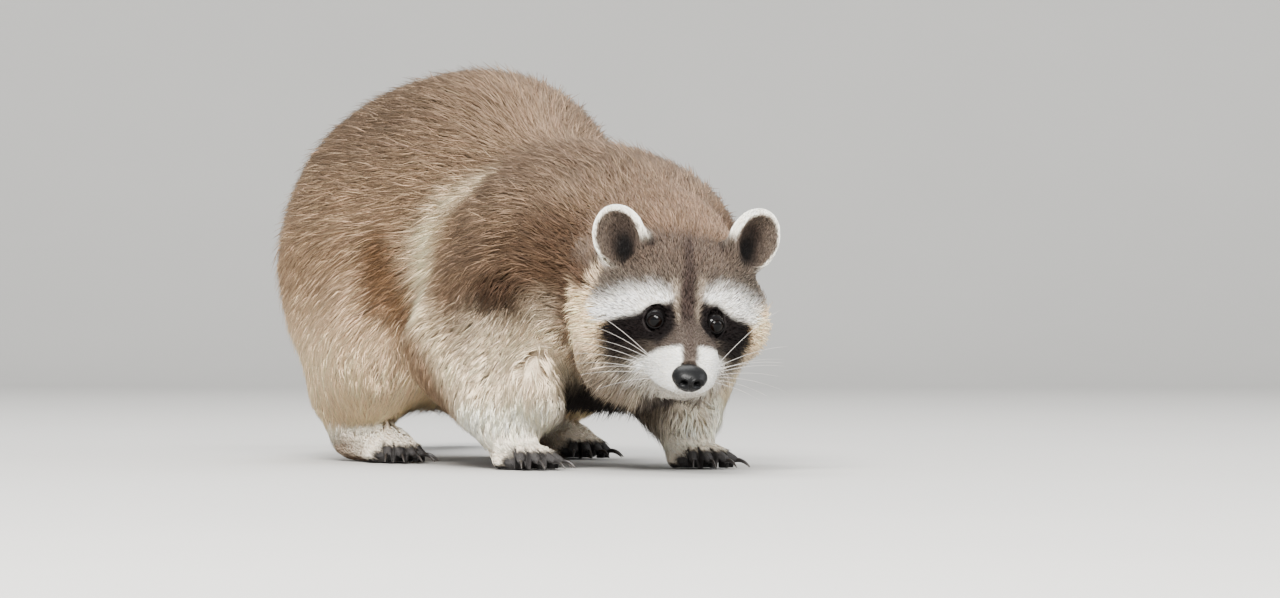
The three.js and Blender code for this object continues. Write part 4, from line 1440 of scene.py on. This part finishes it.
def build_claws(kind, side, material, length, radius):
    """The five claws of a paw: curved, deeper than they are wide, pointed, and rooted in the toes."""
    palm = (PALMS if kind == "fore" else BALLS)[side]
    nodes = [f"{kind}_claw_{side}_{number}" for number in range(1, 6)]
    share = np.linspace(0, 1, CLAW_STATIONS)
    parts, reaches = [], []
    for node in nodes:
        core = middle(node) - SHOULDER
        out = unit(core[:2] - palm)
        reach = -length / 2 - CLAW_INSIDE + share * (length + CLAW_INSIDE)
        height = 5.7 + 1.1 * np.sin(share * math.pi * 0.8) - 4.9 * share**2.2
        line = np.column_stack([core[0] + out[0] * reach, core[1] + out[1] * reach, height])
        girth = radius * (1 - share**2.4) ** 0.75 + 0.18
        parts.append((tube(line, girth, CLAW_SIDES, flat=0.72), grid_faces(CLAW_STATIONS, CLAW_SIDES)))
        reaches.append(np.repeat(share, CLAW_SIDES))
    points, faces = joined(parts)
    name = f"claws_{kind}_{side}"
    mesh = new_mesh(name, to_metres(points), faces)
    add_value(mesh, "reach", np.concatenate(reaches))
    return new_piece(name, mesh, material, "claw", *nodes)


WHISKER_ROWS, WHISKER_COLUMNS = 3, 3
WHISKER_STATIONS, WHISKER_SIDES = 14, 6
WHISKER_SEED = 71


def build_whiskers(material, length, radius):
    """Long bristles in rows on both sides of the muzzle, fanned out and bending down by their weight."""
    rng = np.random.default_rng(WHISKER_SEED)
    share = np.linspace(0, 1, WHISKER_STATIONS)
    parts = []
    for sign in (-1, 1):
        for row in range(WHISKER_ROWS):
            for column in range(WHISKER_COLUMNS):
                lift = math.radians(24 - 17 * row + 4 * column + rng.normal(0, 5))
                back = math.radians(8 + 15 * column + rng.normal(0, 6))
                flat = math.cos(lift)
                way = np.array([flat * math.cos(back), flat * math.sin(back), math.sin(lift)])
                root = np.array([15.5 + 2.2 * column, -70.0 + 6.0 * column, -18.5 - 3.6 * row])
                reach = length * (0.62 + 0.13 * column + 0.12 * rng.random() - 0.05 * row)
                line = root + way * (share * reach)[:, None]
                line[:, 2] -= reach * 0.20 * share**2.2
                line[:, 1] += reach * 0.10 * share**2
                line = from_head(line * [sign, 1, 1])
                girth = radius * (1 - share) ** 0.8 + 0.04
                faces = grid_faces(WHISKER_STATIONS, WHISKER_SIDES)
                parts.append((tube(line, girth, WHISKER_SIDES), faces))
    points, faces = joined(parts)
    mesh = new_mesh("whiskers", to_metres(points), faces)
    return new_piece("whiskers", mesh, material, "coat_face")


def eye_material(iris):
    """A wet near-black eye with a dark brown iris round its pupil."""
    material, wires, shader = new_material("wet_eye")
    ring = wires.value("ring")
    spoke = wires.value("spoke")
    place = wires.add("ShaderNodeCombineXYZ")
    wires.feed(place, X=wires.sum("MULTIPLY", spoke, 9.0), Y=wires.sum("MULTIPLY", ring, 1.4))
    fibre = wires.noise(place.outputs[0], 2.2, 4.0, 0.7)
    colour = wires.blend(wires.spread(fibre, 0.3, 0.7), rgba(iris, 0.25), rgba(iris))
    colour = wires.blend(wires.spread(ring, 0.46, 0.54), (0.0015, 0.0014, 0.0015, 1), colour)
    colour = wires.blend(wires.spread(ring, 0.84, 1.0), colour, (0.003, 0.0025, 0.0025, 1))
    wires.feed(shader, Base_Color=colour, Roughness=wires.spread(fibre, 0.0, 1.0, 0.03, 0.07))
    wires.feed(shader, IOR=1.38, Specular_IOR_Level=0.06, Coat_Weight=0.2, Coat_Roughness=0.02)
    return material


def leather_material(name, pale, dark, scale, rough, strength, shine):
    """Bare dark skin, pebbled, more shiny on the tops of its pebbles."""
    material, wires, shader = new_material(name)
    grain = wires.group("Pebbled skin", Pale=pale, Dark=dark, Scale=scale)
    wires.feed(shader, Base_Color=grain["Color"])
    wires.feed(shader, Roughness=wires.spread(grain["Height"], 0.0, 1.0, rough + 0.18, rough))
    wires.feed(shader, Normal=wires.bump(grain["Height"], strength, 0.0003))
    wires.feed(shader, Specular_IOR_Level=shine)
    return material, wires, shader, grain


def group_pebbled_skin():
    """Small rounded cells with dark creases between them."""
    inputs = {
        "Pale": (COLOUR, (0.05, 0.05, 0.05, 1)),
        "Dark": (COLOUR, (0.01, 0.01, 0.01, 1)),
        "Scale": (FLOAT, 900.0),
    }
    wires, given, out = new_group("Pebbled skin", inputs, {"Color": COLOUR, "Height": FLOAT})
    place = wires.place()
    height = wires.cells(place, given["Scale"], 0.28)
    cloud = wires.noise(place, 130.0)
    share = wires.sum("MULTIPLY", height, wires.spread(cloud, 0.3, 0.7, 0.45, 1.0))
    wires.join(wires.blend(share, given["Dark"], given["Pale"]), out["Color"])
    wires.join(height, out["Height"])


def nose_material():
    colours = (0.006, 0.006, 0.0065, 1), (0.002, 0.002, 0.002, 1)
    material, wires, shader, grain = leather_material("nose_leather", *colours, 1500.0, 0.30, 0.14, 0.12)
    # Painted shade darkens the pits of the nostrils.
    recess_shade = wires.value("recess_shade")
    wires.feed(shader, Base_Color=wires.blend(recess_shade, grain["Color"], (0.0012, 0.0012, 0.0012, 1)))
    wires.feed(shader, Coat_Weight=0.08, Coat_Roughness=0.16)
    return material


def claw_material(root, tip):
    """Horn, darker at its root, with lengthwise fibres."""
    material, wires, shader = new_material("horn")
    reach = wires.value("reach")
    place = wires.place()
    fibre = wires.noise(place, 1500.0, 4.0, 0.65)
    cloud = wires.noise(place, 260.0)
    outer = wires.spread(reach, 0.55, 1.0)
    share = wires.sum("MULTIPLY", outer, wires.spread(cloud, 0.2, 0.8, 0.6, 1.0))
    wires.feed(shader, Base_Color=wires.blend(share, rgba(root), rgba(tip)))
    wires.feed(shader, Roughness=wires.spread(fibre, 0.2, 0.8, 0.26, 0.42))
    wires.feed(shader, Normal=wires.bump(fibre, 0.25, 0.0002))
    return material


def whisker_material(colour):
    material, wires, shader = new_material("whisker")
    place = wires.place()
    cloud = wires.noise(place, 90.0)
    share = wires.spread(cloud, 0.3, 0.7)
    wires.feed(shader, Base_Color=wires.blend(share, rgba(colour, 0.7), rgba(colour)))
    wires.feed(shader, Roughness=wires.spread(cloud, 0.2, 0.8, 0.3, 0.45))
    return material


# ---------------- stage

LENS = 161.0  # mm on a 36 mm sensor
CAMERA_AT = (-1920.9, -3369.1, 114.0)
CAMERA_TURN = -30.0  # degrees about Z, from looking along +Y
FLOOR_REACH = 9.0  # metres
WALL_AT, WALL_BEND, WALL_TOP = 3.4, 1.2, 5.0  # metres
LIGHTS_AIM = (0, 0, 0.1)  # metres


def build_camera(lens):
    data = bpy.data.cameras.new("camera")
    data.lens = lens
    data.sensor_width = 36.0  # mm
    data.clip_end = 50.0  # metres
    camera = bpy.data.objects.new("camera", data)
    camera.location = to_metres(CAMERA_AT)
    camera.rotation_euler = (math.radians(90), 0, math.radians(CAMERA_TURN))
    bpy.context.scene.collection.objects.link(camera)
    bpy.context.scene.camera = camera


def add_light(name, place, size, power, colour=(1, 1, 1)):
    data = bpy.data.lights.new(name, "AREA")
    data.shape = "DISK"
    data.size = size
    data.energy = power
    data.color = colour
    lamp = bpy.data.objects.new(name, data)
    lamp.location = place
    lamp.rotation_euler = (Vector(LIGHTS_AIM) - Vector(place)).to_track_quat("-Z", "Y").to_euler()
    bpy.context.scene.collection.objects.link(lamp)


def build_lights(power):
    add_light("key_light", (-2.2, -2.2, 2.6), 1.4, 2.4 * power, (1.0, 0.98, 0.95))
    add_light("front_light", (-1.4, -3.2, 1.9), 1.6, 1.9 * power, (1.0, 0.99, 0.97))
    add_light("fill_light", (2.4, -2.0, 1.4), 2.0, 0.5 * power, (0.95, 0.97, 1.0))
    add_light("top_light", (0.2, 0.8, 3.0), 2.6, 1.2 * power)
    world = bpy.data.worlds.new("studio")
    world.use_nodes = True
    background = world.node_tree.nodes["Background"]
    background.inputs["Color"].default_value = (0.86, 0.89, 0.92, 1)
    background.inputs["Strength"].default_value = 1.3
    bpy.context.scene.world = world


def build_floor(colour):
    """A plain pale floor that bends up into a wall far behind."""
    material, wires, shader = new_material("studio_floor")
    place = wires.place()
    cloud = wires.noise(place, 3.0)
    wires.feed(shader, Base_Color=wires.blend(cloud, rgba(colour, 0.92), rgba(colour)))
    wires.feed(shader, Roughness=wires.spread(cloud, 0.2, 0.8, 0.7, 0.85))
    profile = [(-FLOOR_REACH, 0.0), (WALL_AT, 0.0)]
    for bend in np.linspace(0.1, math.pi / 2, 12):
        profile.append((WALL_AT + WALL_BEND * math.sin(bend), WALL_BEND * (1 - math.cos(bend))))
    profile.append((WALL_AT + WALL_BEND, WALL_TOP))
    turn = math.radians(CAMERA_TURN)
    sideways = np.array([math.cos(turn), math.sin(turn), 0])
    ahead = np.array([-math.sin(turn), math.cos(turn), 0])
    places = [
        sideways * across + ahead * far + [0, 0, high]
        for far, high in profile
        for across in (-FLOOR_REACH, FLOOR_REACH)
    ]
    rows = np.arange(len(profile) - 1)[:, None] * 2
    mesh = new_mesh("floor", np.array(places), rows + np.array([[0, 1, 3, 2]]))
    floor = bpy.data.objects.new("floor", mesh)
    mesh.materials.append(material)
    bpy.context.scene.collection.objects.link(floor)


# ---------------- what a user may change


def number(name, about, default, unit="NONE"):
    return FloatProperty(name=name, description=about, default=default, unit=unit)


def colour(name, about, default):
    return FloatVectorProperty(name=name, description=about, subtype="COLOR", default=default)


class RaccoonCoat(bpy.types.PropertyGroup):
    """How full the coat is and how its hair is made."""

    length: number("Length", "Tufts' length, as a share of the winter coat's", 1.0)
    width: number("Width", "Tufts' width, as a share of the usual one", 1.0)
    density: number("Density", "Tufts in the same area, as a share", 1.0)
    contrast: number("Grain", "How much fine streaks vary the hair's colour", 0.3)


class RaccoonEyes(bpy.types.PropertyGroup):
    """The eyeballs and the bare edges of their lids."""

    radius: number("Radius", "Radius of an eyeball", EYE_RADIUS / PER_METRE, "LENGTH")
    rim: number("Lid edge", "Half the lid edge's thickness", 0.0005, "LENGTH")
    iris: colour("Iris", "Colour of the iris", (0.006, 0.003, 0.002))


class RaccoonClaws(bpy.types.PropertyGroup):
    """The claws' size and colours."""

    length: number("Length", "How far a claw shows", 0.0078, "LENGTH")
    radius: number("Radius", "Half a claw's depth", 0.0013, "LENGTH")
    root: colour("Root", "Colour at the toe", (0.012, 0.010, 0.009))
    tip: colour("Tip", "Colour at the point", (0.055, 0.045, 0.038))


class RaccoonWhiskers(bpy.types.PropertyGroup):
    """The whiskers' size and colour."""

    length: number("Length", "Longest whisker", 0.074, "LENGTH")
    radius: number("Radius", "Radius at the root", 0.00012, "LENGTH")
    colour: colour("Colour", "Colour", (0.52, 0.49, 0.45))


class RaccoonStage(bpy.types.PropertyGroup):
    """The studio round the animal."""

    lens: number("Lens", "Focal length on a 36 mm sensor, in mm", LENS)
    power: number("Light", "Power of the studio lights", 125.0, "POWER")
    floor: colour("Floor", "Colour", (0.42, 0.41, 0.39))


# ---------------- operators

# Each material of the coat: its pieces, slot and name, and its roughness, grain and streaks.
BODY_COATS = [
    (("rump", "loins", "ribs", "neck"), "coat_back", "coat_of_back", 0.62, 1.0, 900.0),
    (("tail",), "coat_tail", "coat_of_tail", 0.66, 1.2, 800.0),
]
LIMB_COATS = [
    (("arm", "leg"), "coat_limb", "coat_of_limbs", 0.60, 1.1, 1000.0),
    (("paws",), "paw", "coat_of_paws", 0.56, 0.8, 1400.0),
]
HEAD_COATS = [
    (("head", "face"), "coat_face", "coat_of_face", 0.55, 0.8, 1300.0),
    (("ears",), "coat_ear", "coat_of_ears", 0.64, 0.7, 1600.0),
]


class Step:
    """What all the operators do: build their pieces and say that they have finished."""

    def execute(self, context):
        self.build(context.scene)
        return {"FINISHED"}


class CoatStep(Step):
    def build(self, scene):
        grain = scene.raccoon_coat.contrast
        for names, slot, label, rough, share, streaks in self.coats:
            build_coats(names, coat_material(label, rough, grain * share, streaks), slot)


class RACCOON_OT_skin(Step, bpy.types.Operator):
    """Build the one skin over all the flesh, and the lie, depth and traits of its hair"""

    bl_idname = "raccoon.skin"
    bl_label = "Skin"

    def build(self, scene):
        look = scene.raccoon_coat
        group_hair_grain()
        group_pebbled_skin()
        build_skin(skin_material())
        length, width, density, gather = hair_traits()
        skin.update(length=length * look.length, width=width * look.width)
        skin.update(density=density * look.density, gather=gather)


class RACCOON_OT_eyes(Step, bpy.types.Operator):
    """Build the eyeballs and the bare edges of their lids"""

    bl_idname = "raccoon.eyes"
    bl_label = "Eyes"

    def build(self, scene):
        look = scene.raccoon_eyes
        material = eye_material(look.iris)
        for side in SIDES:
            build_eyeball(side, material, look.radius * PER_METRE)
        pale, dark = (0.006, 0.005, 0.005, 1), (0.002, 0.002, 0.002, 1)
        rim, *_ = leather_material("lid_edge", pale, dark, 1500.0, 0.35, 0.2, 0.05)
        build_lid_rims(rim, look.rim * PER_METRE)


class RACCOON_OT_nose(Step, bpy.types.Operator):
    """Build the bare nose pad"""

    bl_idname = "raccoon.nose"
    bl_label = "Nose"

    def build(self, scene):
        build_nose(nose_material())


class RACCOON_OT_claws(Step, bpy.types.Operator):
    """Build the five claws of each paw"""

    bl_idname = "raccoon.claws"
    bl_label = "Claws"

    def build(self, scene):
        look = scene.raccoon_claws
        material = claw_material(look.root, look.tip)
        for kind in ("fore", "hind"):
            for side in SIDES:
                build_claws(kind, side, material, look.length * PER_METRE, look.radius * PER_METRE)


class RACCOON_OT_whiskers(Step, bpy.types.Operator):
    """Build the whiskers"""

    bl_idname = "raccoon.whiskers"
    bl_label = "Whiskers"

    def build(self, scene):
        look = scene.raccoon_whiskers
        build_whiskers(whisker_material(look.colour), look.length * PER_METRE, look.radius * PER_METRE)


class RACCOON_OT_body_coat(CoatStep, bpy.types.Operator):
    """Grow the long coat of the trunk, the neck and the tail"""

    bl_idname = "raccoon.body_coat"
    bl_label = "Body coat"
    coats = BODY_COATS


class RACCOON_OT_limb_coat(CoatStep, bpy.types.Operator):
    """Grow the coat of the arms and legs, and the short hair of the paws"""

    bl_idname = "raccoon.limb_coat"
    bl_label = "Limb coat"
    coats = LIMB_COATS


class RACCOON_OT_head_coat(CoatStep, bpy.types.Operator):
    """Grow the coat of the head and the face, and the down of the ears"""

    bl_idname = "raccoon.head_coat"
    bl_label = "Head coat"
    coats = HEAD_COATS


class RACCOON_OT_stage(Step, bpy.types.Operator):
    """Set up the camera, the soft lights and the plain floor"""

    bl_idname = "raccoon.stage"
    bl_label = "Stage"

    def build(self, scene):
        look = scene.raccoon_stage
        build_camera(look.lens)
        build_lights(look.power)
        build_floor(look.floor)


GROUPS = {
    "raccoon_coat": RaccoonCoat,
    "raccoon_eyes": RaccoonEyes,
    "raccoon_claws": RaccoonClaws,
    "raccoon_whiskers": RaccoonWhiskers,
    "raccoon_stage": RaccoonStage,
}
OPERATORS = (
    RACCOON_OT_skin,
    RACCOON_OT_eyes,
    RACCOON_OT_nose,
    RACCOON_OT_claws,
    RACCOON_OT_whiskers,
    RACCOON_OT_body_coat,
    RACCOON_OT_limb_coat,
    RACCOON_OT_head_coat,
    RACCOON_OT_stage,
)


class RACCOON_PT_build(bpy.types.Panel):
    """The sizes and colours that may be changed, and the pieces in the order of their making"""

    bl_idname = "RACCOON_PT_build"
    bl_label = "Raccoon"
    bl_space_type = "VIEW_3D"
    bl_region_type = "UI"
    bl_category = "Raccoon"

    def draw(self, context):
        for name, group in GROUPS.items():
            box = self.layout.box()
            for label in group.__annotations__:
                box.prop(getattr(context.scene, name), label)
        for operator in OPERATORS:
            self.layout.operator(operator.bl_idname)


CLASSES = (*GROUPS.values(), *OPERATORS, RACCOON_PT_build)


def register():
    for one in CLASSES:
        bpy.utils.register_class(one)
    for name, group in GROUPS.items():
        setattr(bpy.types.Scene, name, PointerProperty(type=group))


def unregister():
    for name in GROUPS:
        delattr(bpy.types.Scene, name)
    for one in reversed(CLASSES):
        bpy.utils.unregister_class(one)


def main():
    register()
    bpy.ops.raccoon.skin()
    bpy.ops.raccoon.eyes()
    bpy.ops.raccoon.nose()
    bpy.ops.raccoon.claws()
    bpy.ops.raccoon.whiskers()
    bpy.ops.raccoon.body_coat()
    bpy.ops.raccoon.limb_coat()
    bpy.ops.raccoon.head_coat()
    bpy.ops.raccoon.stage()


if __name__ == "__main__":
    main()
